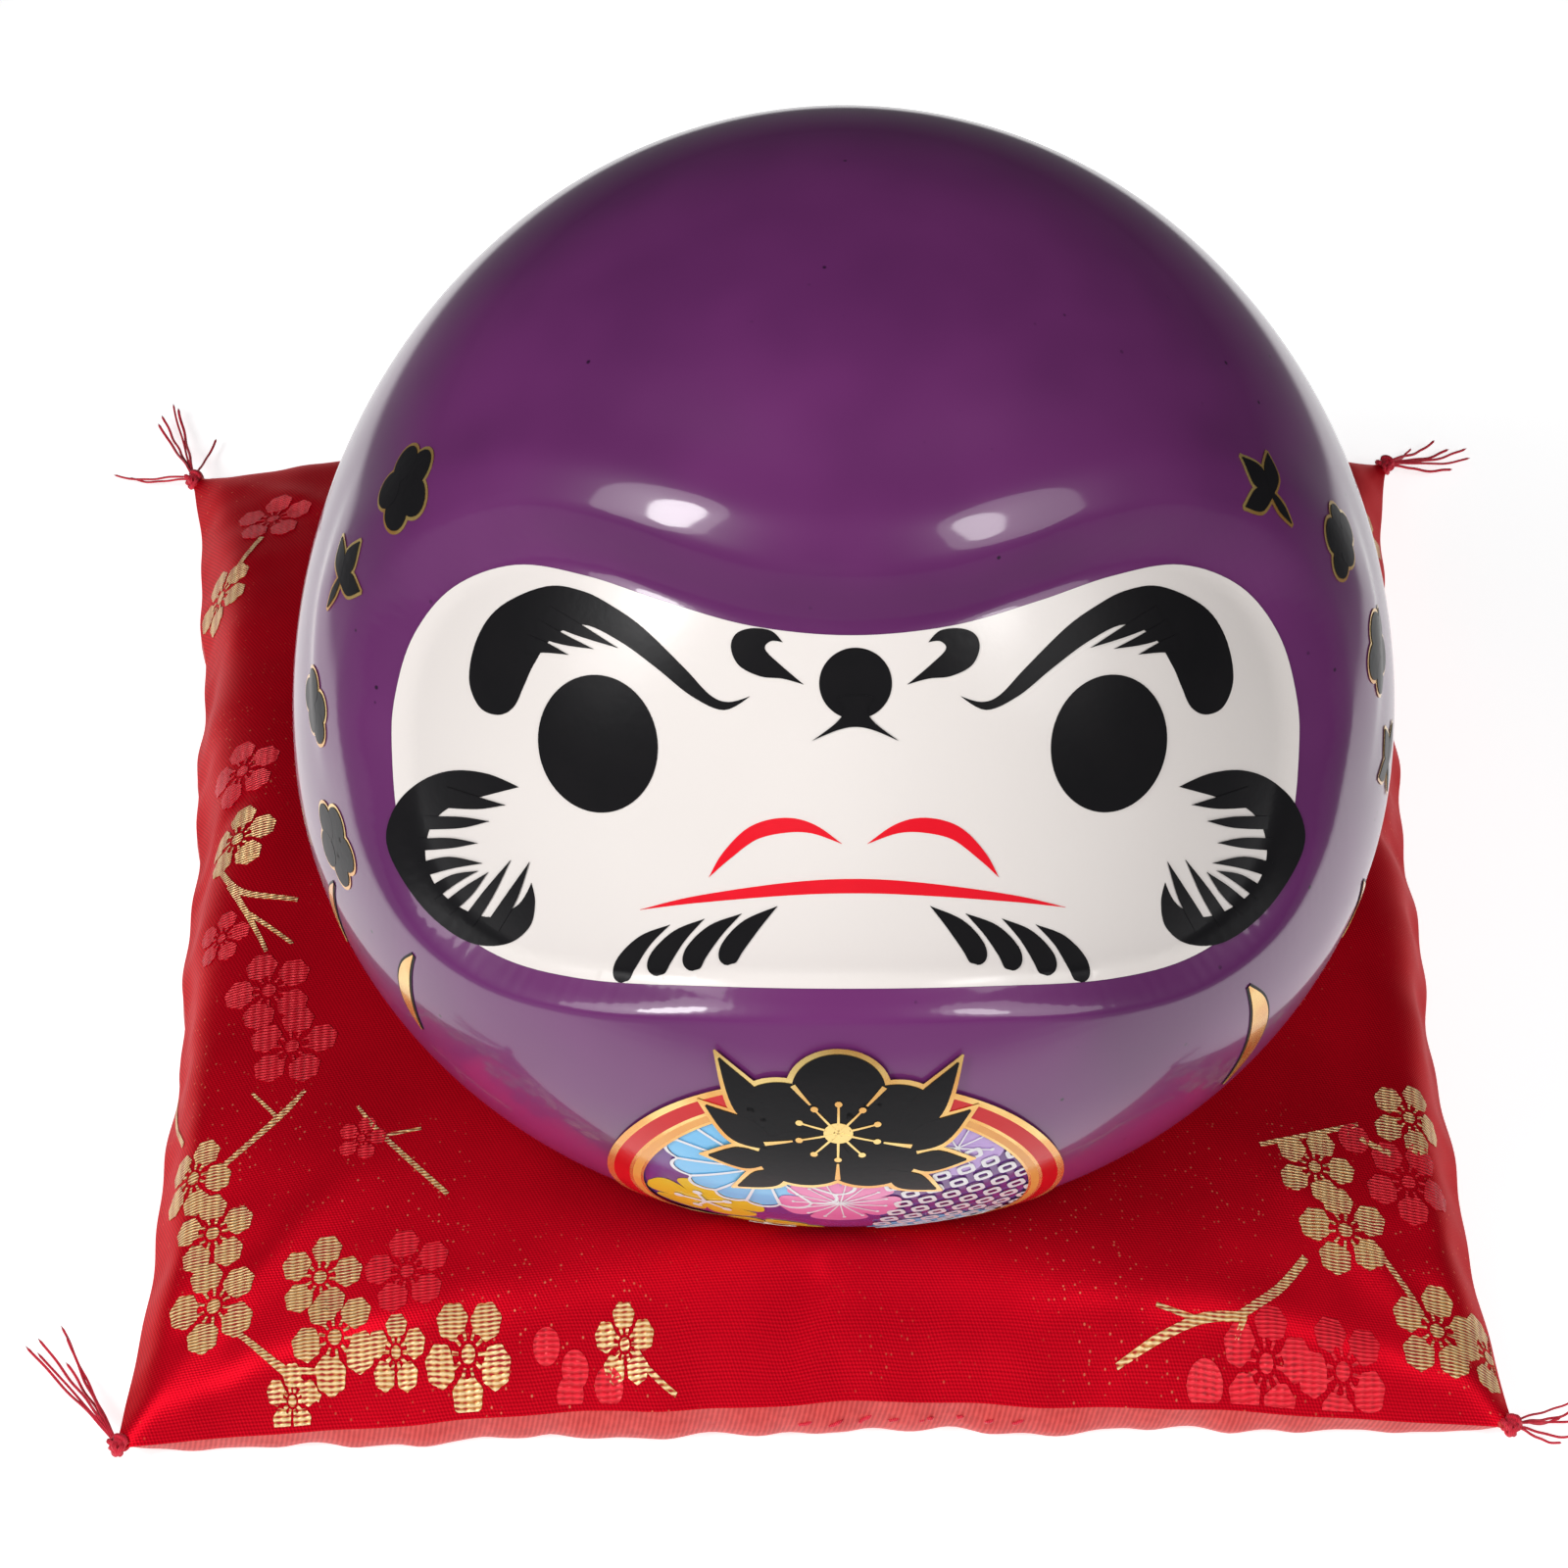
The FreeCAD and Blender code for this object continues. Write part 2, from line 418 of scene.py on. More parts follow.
@dataclass(frozen=True)
class SatinFinish:
    """Red satin ground of the brocade, with a slanting weave and sparse glints of gilt thread."""

    name: str = "red_satin"
    flat_side: float = 136.5
    light: Colour = (0.72, 0.0038, 0.017)
    dark: Colour = (0.36, 0.0008, 0.007)
    glint: Colour = (0.80, 0.30, 0.16)
    pitch: float = 0.34
    roughness: float = 0.44

    def build(self) -> bpy.types.Material:
        """Return the material."""
        shading = Shading(self.name)
        uv = shading.node("UVMap", uv_map="panel").outputs[0]
        apart = shading.node("SeparateXYZ", {0: uv})
        turn = 2 * math.pi * self.flat_side / self.pitch
        warp = shading.maths("MULTIPLY", apart.outputs[0], turn)
        weft = shading.maths("MULTIPLY", apart.outputs[1], turn)
        slant = shading.maths("SINE", shading.maths("ADD", warp, shading.maths("MULTIPLY", weft, 0.5)))
        rows = shading.maths("SINE", shading.maths("MULTIPLY", weft, 1.4))
        weave = shading.maths("MULTIPLY", shading.maths("ADD", slant, rows), 0.5)
        drift = shading.node("TexNoise", {"Vector": uv, "Scale": 8.0, "Detail": 3.0}).outputs[0]
        share = shading.maths("ADD", shading.band(weave, -0.9, 0.9), shading.maths("SUBTRACT", drift, 0.5))
        ground = shading.mix(shading.maths("MULTIPLY", share, 0.9), rgba(self.dark), rgba(self.light))
        dots = shading.node("TexVoronoi", {"Vector": uv, "Scale": 270.0, "Randomness": 0.75})
        chosen = shading.node("SeparateColor", {0: dots.outputs["Color"]}).outputs[0]
        near = shading.band(dots.outputs["Distance"], 0.26, 0.14)
        patchy = shading.node("TexNoise", {"Vector": uv, "Scale": 5.0, "Detail": 1.0}).outputs[0]
        often = shading.maths("MULTIPLY", shading.band(chosen, 0.62, 0.66), shading.band(patchy, 0.42, 0.60))
        glints = shading.maths("MULTIPLY", shading.maths("MULTIPLY", near, often), 0.55)
        shading.set(Base_Color=shading.mix(glints, ground, rgba(self.glint)), Roughness=self.roughness)
        shading.set(Metallic=0.42, Specular_IOR_Level=0.12, Sheen_Weight=0.10, Sheen_Roughness=0.3)
        shading.set(Sheen_Tint=(1.0, 0.06, 0.08, 1.0), Specular_Tint=(1.0, 0.12, 0.14, 1.0))
        shading.bump(weave, 0.25, 0.00004)
        return shading.material


@dataclass(frozen=True)
class FloatThreadFinish:
    """Figures of the brocade: floating threads in close ribs, with the ground seen between some, and painted
    shade in the rib valleys against lighter crests.
    """

    name: str
    bright: Colour
    shade: Colour
    ground: Colour = (0.34, 0.0015, 0.008)
    rib: float = 0.31
    metallic: float = 0.35
    gaps: float = 0.34

    def build(self) -> bpy.types.Material:
        """Return the material."""
        shading = Shading(self.name)
        place = shading.node("TexCoord").outputs["Object"]
        apart = shading.node("SeparateXYZ", {0: place})
        turn = 2 * math.pi / (self.rib * MM)
        fuzz = shading.node("TexNoise", {"Vector": place, "Scale": 700.0, "Detail": 2.0}).outputs[0]
        wander = shading.maths("MULTIPLY", fuzz, 5.0)
        across = shading.maths("MULTIPLY", apart.outputs[1], turn)
        rows = shading.maths("SINE", shading.maths("ADD", across, wander))
        floats = shading.maths("SINE", shading.maths("MULTIPLY", apart.outputs[0], turn * 0.37))
        coarse = shading.node("TexNoise", {"Vector": place, "Scale": 420.0, "Detail": 1.0}).outputs[0]
        height = shading.maths("ADD", rows, shading.maths("MULTIPLY", floats, 0.35))
        seen = shading.band(shading.maths("ADD", height, shading.maths("MULTIPLY", coarse, 2.2)),
                            self.gaps - 0.35, self.gaps + 0.25)
        # Painted shade: the thread goes from its shade tone in the rib valleys to its bright tone on the
        # crests.
        rib_shaded_metal = shading.mix(shading.band(height, -0.5, 1.0), rgba(self.shade), rgba(self.bright))
        shading.set(Base_Color=shading.mix(seen, rgba(self.ground), rib_shaded_metal), Roughness=0.38)
        shading.set(Metallic=shading.maths("MULTIPLY", seen, self.metallic), Specular_IOR_Level=0.25)
        shading.bump(height, 0.6, 0.00012)
        return shading.material


@dataclass(frozen=True)
class ClothFinish:
    """Plain woven or spun cloth: two tones of one colour along fine ribs."""

    name: str
    light: Colour
    dark: Colour
    rib: float = 0.45
    roughness: float = 0.6
    sheen: float = 0.4
    flat_side: float = 0.0

    def build(self) -> bpy.types.Material:
        """Return the material."""
        shading = Shading(self.name)
        place = shading.node("TexCoord").outputs["Object"]
        woven = place
        if self.flat_side:
            uv = shading.node("UVMap", uv_map="panel").outputs[0]
            size = (self.flat_side * MM,) * 3
            woven = shading.node("VectorMath", {0: uv, 1: size}, operation="MULTIPLY").outputs["Vector"]
        apart = shading.node("SeparateXYZ", {0: woven})
        slant = shading.maths("ADD", apart.outputs[0], shading.maths("MULTIPLY", apart.outputs[1], 0.35))
        turn = 2 * math.pi / (self.rib * MM)
        ribs = shading.maths("SINE", shading.maths("MULTIPLY", slant, turn))
        fuzz = shading.node("TexNoise", {"Vector": place, "Scale": 900.0, "Detail": 3.0}).outputs[0]
        share = shading.maths("ADD", shading.maths("MULTIPLY", ribs, 0.3), fuzz)
        shading.set(Base_Color=shading.mix(shading.band(share, 0.1, 0.9), rgba(self.dark), rgba(self.light)))
        shading.set(Roughness=self.roughness, Sheen_Weight=self.sheen, Sheen_Roughness=0.4)
        shading.set(Specular_IOR_Level=0.2)
        shading.bump(share, 0.4, 0.0001)
        return shading.material


@dataclass(frozen=True)
class Palette:
    """Every finish of the object."""

    glaze: GlazeFinish = GlazeFinish()
    enamel: PrintFinish = PrintFinish("face_enamel", (0.82, 0.765, 0.73), (0.79, 0.735, 0.70), 0.2,
                                      45.0, 0.3)
    ink: PrintFinish = PrintFinish("black_ink", (0.008, 0.008, 0.009), (0.012, 0.011, 0.012), 0.30,
                                   gloss=0.10)
    lip: PrintFinish = PrintFinish("lip_red", (0.84, 0.012, 0.026), (0.76, 0.010, 0.022), gloss=0.2)
    ring_red: PrintFinish = PrintFinish("ring_red", (0.64, 0.010, 0.014), (0.54, 0.006, 0.010), gloss=0.3)
    orange: PrintFinish = PrintFinish("ring_orange", (0.75, 0.26, 0.05), (0.80, 0.42, 0.10))
    violet: PrintFinish = PrintFinish("field_violet", (0.16, 0.05, 0.26), (0.12, 0.035, 0.20))
    sky: PrintFinish = PrintFinish("petal_blue", (0.13, 0.45, 0.78), (0.22, 0.56, 0.84))
    chalk: PrintFinish = PrintFinish("fine_white", (0.80, 0.78, 0.80), (0.72, 0.70, 0.72))
    leaf: PrintFinish = PrintFinish("centre_green", (0.12, 0.42, 0.16), (0.10, 0.36, 0.12))
    yellow: PrintFinish = PrintFinish("petal_yellow", (0.82, 0.56, 0.04), (0.76, 0.46, 0.03))
    pink: PrintFinish = PrintFinish("petal_pink", (0.76, 0.14, 0.36), (0.82, 0.26, 0.48))
    lilac: PrintFinish = PrintFinish("petal_lilac", (0.48, 0.30, 0.66), (0.54, 0.38, 0.70))
    gold: GiltFinish = GiltFinish()
    satin: SatinFinish = SatinFinish()
    # The second colour of each figure finish is painted shade for its rib valleys.
    gilt: FloatThreadFinish = FloatThreadFinish("gilt_figures", (0.88, 0.66, 0.35), (0.56, 0.25, 0.07))
    rose: FloatThreadFinish = FloatThreadFinish("rose_figures", (0.84, 0.020, 0.040), (0.56, 0.004, 0.014),
                                                metallic=0.15, gaps=0.0)
    twill: ClothFinish = ClothFinish("coral_twill", (0.60, 0.056, 0.050), (0.40, 0.020, 0.018), 0.5, 0.6,
                                     0.12, 136.5)
    cotton: ClothFinish = ClothFinish("cotton_filling", (0.80, 0.78, 0.72), (0.66, 0.63, 0.57), 1.2)
    thread: ClothFinish = ClothFinish("tassel_thread", (0.68, 0.030, 0.060), (0.40, 0.006, 0.018), 0.16,
                                      0.5, 0.15)


# ---------------------------------------------------------------------------------------------
# The doll


# Half of the face window's outline, from the middle of its lower edge round to the top, in
# millimetres from the middle line; the other half is its mirror image.
WINDOW_HALF: list[Point] = [
    (0.0, -23.0), (12.0, -22.9), (23.0, -22.6), (31.0, -20.8), (36.8, -16.5), (39.8, -10.0), (40.5, -2.4),
    (40.1, 2.5), (38.3, 7.8), (34.6, 12.0), (29.0, 13.9), (22.7, 12.9), (16.0, 10.7), (8.5, 8.6), (0.0, 7.8),
]


@dataclass
class CeramicDoll:
    """The cast and glazed body: an egg-shaped wall with a sunken face and a ring foot.

    The body is turned about its own axis, with the middle of its widest circle as its origin.
    """

    foot_radius: float = 31.0 * MM
    belly_depth: float = 42.0 * MM
    wall: float = 4.0 * MM
    base_wall: float = 4.5 * MM
    foot_ring: float = 6.0 * MM
    foot_recess: float = 1.6 * MM
    hole_radius: float = 4.0 * MM
    face_lean: float = 45.0
    face_right: float = -0.5 * MM
    face_turn: float = -0.7
    face_depth: float = 2.9 * MM
    brow_swell: float = 0.7 * MM
    turn_steps: int = 256
    body: bpy.types.Object = field(init=False)

    def __post_init__(self) -> None:
        """Work out the sizes that the frame holds."""
        low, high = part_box("ceramic_shell")
        self.half_width = (high[0] - low[0]) / 2
        self.waist = self.belly_depth * math.sqrt(1 - (self.foot_radius / self.half_width) ** 2)
        self.crown_rise = high[2] - low[2] - self.waist
        self.middle = Vector(((low[0] + high[0]) / 2, low[1] + self.half_width, low[2] + self.waist))

    def arc(self, inset: float, start: float, end: float, count: int) -> list[Point]:
        """Follow the egg's side between two angles.

        Args:
            inset: How far inside the outer side, in metres.
            start: First angle over the widest circle, in degrees.
            end: Last angle, in degrees.
            count: How many points.

        Returns:
            Points (radius, height).
        """
        points = []
        for index in range(count):
            angle = math.radians(start + (end - start) * index / (count - 1))
            rise = (self.crown_rise if angle > 0 else self.belly_depth) - inset
            points.append(((self.half_width - inset) * math.cos(angle), rise * math.sin(angle)))
        return points

    def profile(self) -> list[Point]:
        """Draw the half section of the whole wall.

        Returns:
            Points (radius, height), from the crown outside to the crown inside.
        """
        foot = -self.waist
        ring = self.foot_radius - self.foot_ring
        soft = 0.7 * MM
        side_end = -math.degrees(math.asin((self.waist - soft) / self.belly_depth))
        inner_foot = self.foot_recess + self.base_wall
        inner_end = -math.degrees(math.asin((self.waist - inner_foot) / (self.belly_depth - self.wall)))
        base = foot + self.foot_recess
        points = self.arc(0.0, 90.0, side_end, 136)
        points += [(self.foot_radius - 0.25 * MM, foot + 0.2 * MM), (self.foot_radius - soft, foot)]
        points += [(ring + soft, foot), (ring + 0.2 * MM, foot + 0.2 * MM), (ring, foot + soft)]
        points += [(ring - 0.2 * MM, base - 0.2 * MM), (ring - soft, base)]
        points += [(self.hole_radius + soft, base), (self.hole_radius, base + soft)]
        points.append((self.hole_radius, foot + inner_foot - soft))
        points.append((self.hole_radius + soft, foot + inner_foot))
        points += self.arc(self.wall + 0.9 * MM, inner_end, 90.0, 36)
        points[0] = (0.0, points[0][1])
        points[-1] = (0.0, points[-1][1])
        return points

    def window(self, per_run: int = 8) -> np.ndarray:
        """Return the face window's closed outline in metres, in the plane of the face."""
        left = [(-u, v) for u, v in WINDOW_HALF[-2:0:-1]]
        return curve_through(WINDOW_HALF + left, per_run, True) * MM + np.array([self.face_right, 0.0])

    def face_plane(self) -> Matrix:
        """Return the plane that the face is drawn in, leaning back over the middle of the body."""
        turn = Matrix.Rotation(math.radians(self.face_turn), 4, "Z")
        return plane_at(self.middle, 0.0, self.face_lean) @ turn

    def on_window(self) -> tuple[np.ndarray, np.ndarray, np.ndarray]:
        """Measure the body's points against the face window.

        Returns:
            Each point's height in the face's plane, its distance outside the window, and whether it
            is on the front of the outer wall.
        """
        points = coordinates(self.body)
        u, v, out = (points @ np.array(self.face_plane().to_3x3())).T
        front = out > 0.2 * self.half_width
        outside = np.full(len(points), 1.0)
        outside[front] = distance_outside(np.column_stack([u, v])[front], self.window(6))
        outside[front] += 14.0 * MM * (1.0 - smoothstep(0.2, 0.45, out[front] / self.half_width))
        rise = np.where(points[:, 2] > 0, self.crown_rise, self.belly_depth)
        level = np.hypot(points[:, 0], points[:, 1]) / self.half_width
        reach = np.hypot(level, points[:, 2] / rise)
        return v, outside, front & (reach > 1.0 - self.wall / self.half_width / 2)

    def refine_near_window(self) -> None:
        """Divide the outer wall's faces where the face sinks, so that its edge is crisp."""
        bpy.context.tool_settings.mesh_select_mode = (False, False, True)
        for low, high in ((-5.0 * MM, 11.0 * MM), (-2.0 * MM, 5.5 * MM)):
            _, outside, outer = self.on_window()
            near = outer & (outside > low) & (outside < high)
            edit(self.body)
            bpy.ops.mesh.select_all(action="DESELECT")
            bpy.ops.object.mode_set(mode="OBJECT")
            for polygon in self.body.data.polygons:
                polygon.select = bool(all(near[index] for index in polygon.vertices))
            bpy.ops.object.mode_set(mode="EDIT")
            bpy.ops.mesh.subdivide(number_cuts=1)
            leave_edit()

    def sink_face(self) -> None:
        """Press the face window in, with a swelling brow over it and a soft lip under it."""
        v, outside, outer = self.on_window()
        height = np.clip((v + 7.0 * MM) / (18.0 * MM), -1.0, 1.0)
        slope = (4.7 + 1.5 * height) * MM
        sunk = (1.0 - smoothstep(0.0, 1.0, outside / slope)) * outer
        swell = np.exp(-((outside / slope - 1.45) / 0.55) ** 2) * np.clip(height, 0.0, 1.0) * outer
        groups = [("sunk", sunk, -self.face_depth), ("brow", swell, self.brow_swell)]
        for name, weights, strength in groups:
            group = self.body.vertex_groups.new(name=name)
            for index in np.nonzero(weights > 1e-4)[0]:
                group.add([int(index)], float(weights[index]), "REPLACE")
            press = self.body.modifiers.new(name, "DISPLACE")
            press.vertex_group = name
            press.mid_level = 0.0
            press.strength = strength
        apply_modifiers(self.body)
        self.body.vertex_groups.clear()

    def build(self, palette: Palette) -> bpy.types.Object:
        """Turn the body, sink its face and glaze it.

        Args:
            palette: The finishes.

        Returns:
            The body.
        """
        profile = self.profile()
        bpy.ops.mesh.primitive_circle_add(vertices=len(profile), fill_type="NOTHING")
        self.body = bpy.context.object
        self.body.name = self.body.data.name = "doll_body"
        place_vertices(self.body, np.array([(radius, 0.0, height) for radius, height in profile]))
        select_only(self.body)
        for edge in self.body.data.edges:
            edge.select = set(edge.vertices) == {0, len(profile) - 1}
        bpy.context.tool_settings.mesh_select_mode = (False, True, False)
        bpy.ops.object.mode_set(mode="EDIT")
        bpy.ops.mesh.delete(type="EDGE")
        bpy.ops.mesh.select_all(action="SELECT")
        bpy.ops.mesh.spin(steps=self.turn_steps, angle=2 * math.pi, center=(0, 0, 0), axis=(0, 0, 1))
        bpy.ops.mesh.select_all(action="SELECT")
        bpy.ops.mesh.remove_doubles(threshold=1e-6)
        bpy.ops.mesh.normals_make_consistent(inside=False)
        leave_edit()
        self.refine_near_window()
        self.sink_face()
        self.body.location = self.middle
        settle(self.body)
        smooth(self.body, 50.0)
        keep(self.body, "doll", palette.glaze.build())
        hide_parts("ceramic_shell")
        return self.body


def outward(azimuth: float, elevation: float) -> Vector:
    """Return the direction from the object to something round it.

    Args:
        azimuth: Degrees to the viewer's right.
        elevation: Degrees above the table.

    Returns:
        The direction, one metre long.
    """
    turn, tilt = math.radians(azimuth), math.radians(elevation)
    return Vector((math.sin(turn) * math.cos(tilt), -math.cos(turn) * math.cos(tilt), math.sin(tilt)))


def plane_at(middle: Vector, azimuth: float, lean: float) -> Matrix:
    """Return a drawing plane: its X to the viewer's right, its Y up, its Z out of the body.

    Args:
        middle: Where the plane's origin is.
        azimuth: Degrees that the plane is turned to the viewer's right.
        lean: Degrees that the plane looks up.

    Returns:
        The plane's matrix.
    """
    turn = math.radians(azimuth)
    out = outward(azimuth, lean)
    right = Vector((math.cos(turn), math.sin(turn), 0.0))
    up = out.cross(right)
    rows = [(right[i], up[i], out[i], middle[i]) for i in range(3)]
    return Matrix([*rows, (0.0, 0.0, 0.0, 1.0)])


def keep(obj: bpy.types.Object, body: str, material: bpy.types.Material) -> None:
    """Dress a finished piece and make it ride on its body.

    Args:
        obj: The piece.
        body: Name of the CAD body that it moves with.
        material: Its finish.
    """
    obj.data.materials.clear()
    obj.data.materials.append(material)
    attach(obj, body)
    LOG.info("%s: %d faces on %s", obj.name, len(obj.data.polygons), body)


# ---------------------------------------------------------------------------------------------
# Painted decoration: flat shapes, drawn in millimetres and laid on the glaze


def stroke(points: Sequence[Point], columns: int = 4, per_run: int = 6) -> bpy.types.Object:
    """Draw a brush stroke.

    Args:
        points: Along the stroke, each (u, v, width).
        columns: Faces across the stroke.
        per_run: Faces along each run.

    Returns:
        The flat stroke.
    """
    spine = curve_through(points, per_run, False)
    along = np.gradient(spine[:, :2], axis=0)
    along /= np.maximum(np.linalg.norm(along, axis=1), 1e-9)[:, None]
    aside = np.column_stack([along[:, 1], -along[:, 0]])
    bpy.ops.mesh.primitive_grid_add(x_subdivisions=columns, y_subdivisions=len(spine) - 1)
    obj = bpy.context.object
    across = np.tile(np.linspace(-0.5, 0.5, columns + 1), len(spine))
    rows = np.repeat(np.arange(len(spine)), columns + 1)
    width = np.maximum(spine[rows, 2], 0.02)
    flat = spine[rows, :2] + aside[rows] * (across * width)[:, None]
    place_vertices(obj, np.column_stack([flat * MM, np.zeros(len(flat))]))
    return obj


def polar_patch(middle: Point, reach: Callable[[float], float], inner: float = 0.0, rings: int = 6,
                steps: int = 72, stretch: Point = (1.0, 1.0), turn: float = 0.0) -> bpy.types.Object:
    """Draw a round shape or ring by its reach at each angle.

    Args:
        middle: Its middle (u, v).
        reach: Outer radius in millimetres at an angle in radians.
        inner: The hole's share of the radius.
        rings: Faces from the middle out.
        steps: Faces round it.
        stretch: Scale along its own two axes.
        turn: Degrees that it is turned.

    Returns:
        The flat shape.
    """
    bpy.ops.mesh.primitive_grid_add(x_subdivisions=steps, y_subdivisions=rings)
    obj = bpy.context.object
    spread = -np.tile(np.linspace(0.0, 2 * math.pi, steps + 1), rings + 1)
    share = np.repeat(np.linspace(inner, 1.0, rings + 1), steps + 1)
    radius = np.array([reach(angle) for angle in spread]) * share
    x = radius * np.cos(spread) * stretch[0]
    y = radius * np.sin(spread) * stretch[1]
    angle = math.radians(turn)
    u = middle[0] + x * math.cos(angle) - y * math.sin(angle)
    v = middle[1] + x * math.sin(angle) + y * math.cos(angle)
    place_vertices(obj, np.column_stack([u * MM, v * MM, np.zeros(len(u))]))
    edit(obj)
    bpy.ops.mesh.remove_doubles(threshold=1e-7)
    leave_edit()
    return obj


def filled(outline: np.ndarray, cell: float) -> bpy.types.Object:
    """Fill a closed outline, and cut it into cells so that it can bend.

    Args:
        outline: Its corners in metres, in order.
        cell: Size of the cells in metres.

    Returns:
        The flat shape.
    """
    bpy.ops.mesh.primitive_circle_add(vertices=len(outline), fill_type="NGON")
    obj = bpy.context.object
    place_vertices(obj, np.column_stack([outline, np.zeros(len(outline))]))
    edit(obj)
    bpy.ops.mesh.quads_convert_to_tris()
    low, high = outline.min(axis=0), outline.max(axis=0)
    for axis in range(2):
        direction = (1.0, 0.0, 0.0) if axis == 0 else (0.0, 1.0, 0.0)
        for at in np.arange(low[axis] + cell / 2, high[axis], cell):
            bpy.ops.mesh.select_all(action="SELECT")
            bpy.ops.mesh.bisect(plane_co=tuple(at * value for value in direction), plane_no=direction)
    bpy.ops.mesh.select_all(action="SELECT")
    bpy.ops.mesh.remove_doubles(threshold=1e-7)
    leave_edit()
    return obj


def outline_of(points: Sequence[Point], cell: float = 0.7 * MM, per_run: int = 6) -> bpy.types.Object:
    """Fill a smooth outline through a few points in millimetres."""
    return filled(curve_through(points, per_run, True) * MM, cell)


def mirrored(points: Sequence[Point], side: Side, centre: float) -> list[Point]:
    """Return points given as distances from a middle line, on one side of it."""
    return [(centre + side.value * point[0], *point[1:]) for point in points]


@dataclass
class Decoration:
    """Lays flat shapes on the glaze, each layer a little prouder than the one under it."""

    body: bpy.types.Object
    first_lift: float = 0.05 * MM
    layer_step: float = 0.06 * MM
    film: float = 0.04 * MM
    apart: float = 0.006 * MM
    clearance: float = 80.0 * MM

    def face_up(self, shape: bpy.types.Object) -> None:
        """Turn a flat shape's faces up if they look down.

        Args:
            shape: The flat shape.
        """
        if sum(polygon.normal.z * polygon.area for polygon in shape.data.polygons) < 0:
            edit(shape)
            bpy.ops.mesh.flip_normals()
            leave_edit()

    def lay(self, name: str, shapes: Sequence[bpy.types.Object], plane: Matrix,
            layer: int) -> bpy.types.Object:
        """Lay shapes on the body.

        Args:
            name: Name of the result.
            shapes: Flat shapes in the plane.
            plane: The plane they are drawn in.
            layer: How many layers lie under them.

        Returns:
            The shapes as one thin closed film.
        """
        for index, shape in enumerate(shapes):
            self.face_up(shape)
            shape.matrix_world = plane @ Matrix.Translation((0.0, 0.0, self.clearance))
            wrap = shape.modifiers.new("on glaze", "SHRINKWRAP")
            wrap.target = self.body
            wrap.wrap_method = "PROJECT"
            wrap.wrap_mode = "ABOVE_SURFACE"
            wrap.use_project_z = True
            wrap.use_negative_direction = True
            wrap.use_positive_direction = False
            wrap.offset = self.first_lift + layer * self.layer_step + (index % 4) * self.apart
            apply_modifiers(shape)
        obj = joined(name, shapes)
        thick = obj.modifiers.new("film", "SOLIDIFY")
        thick.thickness = self.film
        thick.offset = 1.0
        apply_modifiers(obj)
        settle(obj)
        smooth(obj, 40.0)
        return obj


# Face art, in millimetres from the face's middle line; both sides are the same.
BROW: list[Point] = [
    (30.9, 0.8), (32.6, 1.5), (33.5, 4.0), (32.7, 7.6), (30.6, 10.3), (26.6, 12.0), (23.4, 11.6),
    (20.8, 10.3),
    (18.1, 8.4), (14.6, 5.0), (12.4, 2.7), (10.8, 2.1), (9.0, 2.6, "sharp"), (11.2, 1.4), (14.0, 2.6),
    (17.0, 5.0), (20.2, 7.3), (23.4, 8.7), (26.0, 7.6), (27.7, 5.2), (28.6, 3.3), (29.5, 1.5),
]
BROW_HAIRS: list[list[Point]] = [
    [(26.5, 9.6, 1.5), (23.6, 8.2, 1.0), (20.3, 6.7, 0.0)],
    [(27.4, 8.4, 1.5), (25.0, 7.4, 0.9), (22.4, 6.6, 0.0)],
    [(28.2, 7.0, 1.6), (26.6, 6.7, 0.9), (24.6, 6.1, 0.0)],
]
WHISKER: list[Point] = [
    (29.4, -5.5, "sharp"), (32.2, -4.4), (35.4, -4.2), (38.3, -5.2), (40.7, -7.3), (41.8, -10.4),
    (40.7, -13.6),
    (37.9, -17.3), (34.3, -19.7), (31.0, -19.8), (28.7, -18.1), (28.1, -15.8), (28.4, -14.0, "sharp"),
    (29.6, -16.0), (32.2, -17.3), (35.2, -16.5), (37.4, -14.5), (38.2, -11.8), (37.4, -9.0), (35.4, -7.3),
    (33.3, -6.6),
]
WHISKER_HAIRS: list[list[Point]] = [
    [(36.1, -6.6, 1.9), (33.1, -7.0, 1.1), (30.6, -7.1, 0.0)],
    [(38.1, -9.0, 1.2), (34.7, -8.8, 1.0), (32.1, -8.6, 0.0)],
    [(38.6, -11.0, 1.1), (35.6, -10.7, 0.9), (33.2, -10.6, 0.0)],
    [(38.6, -13.3, 1.3), (35.8, -12.5, 1.1), (32.8, -12.4, 0.0)],
    [(37.7, -15.5, 1.2), (35.5, -14.0, 0.9), (33.2, -13.1, 0.0)],
    [(36.4, -16.9, 1.2), (34.2, -15.0, 1.0), (32.3, -13.2, 0.0)],
    [(34.3, -18.0, 1.2), (32.2, -15.0, 0.9), (30.2, -12.0, 0.0)],
    [(32.0, -18.2, 1.3), (30.1, -15.2, 1.0), (28.5, -12.1, 0.0)],
]
COMMA: list[Point] = [
    (10.6, 6.7), (9.9, 5.2), (8.1, 4.3), (6.2, 4.1), (4.4, 3.6, "sharp"), (6.3, 5.2), (7.7, 6.6), (7.2, 7.3),
    (6.2, 7.2, "sharp"), (7.2, 8.2), (8.9, 8.4), (10.2, 7.9),
]
LIP_ARC: list[Point] = [
    (12.5, -13.1, 0.0), (11.0, -11.2, 0.8), (8.7, -9.2, 1.25), (6.0, -8.5, 1.3), (3.6, -8.8, 0.8),
    (1.1, -10.1, 0.0),
]
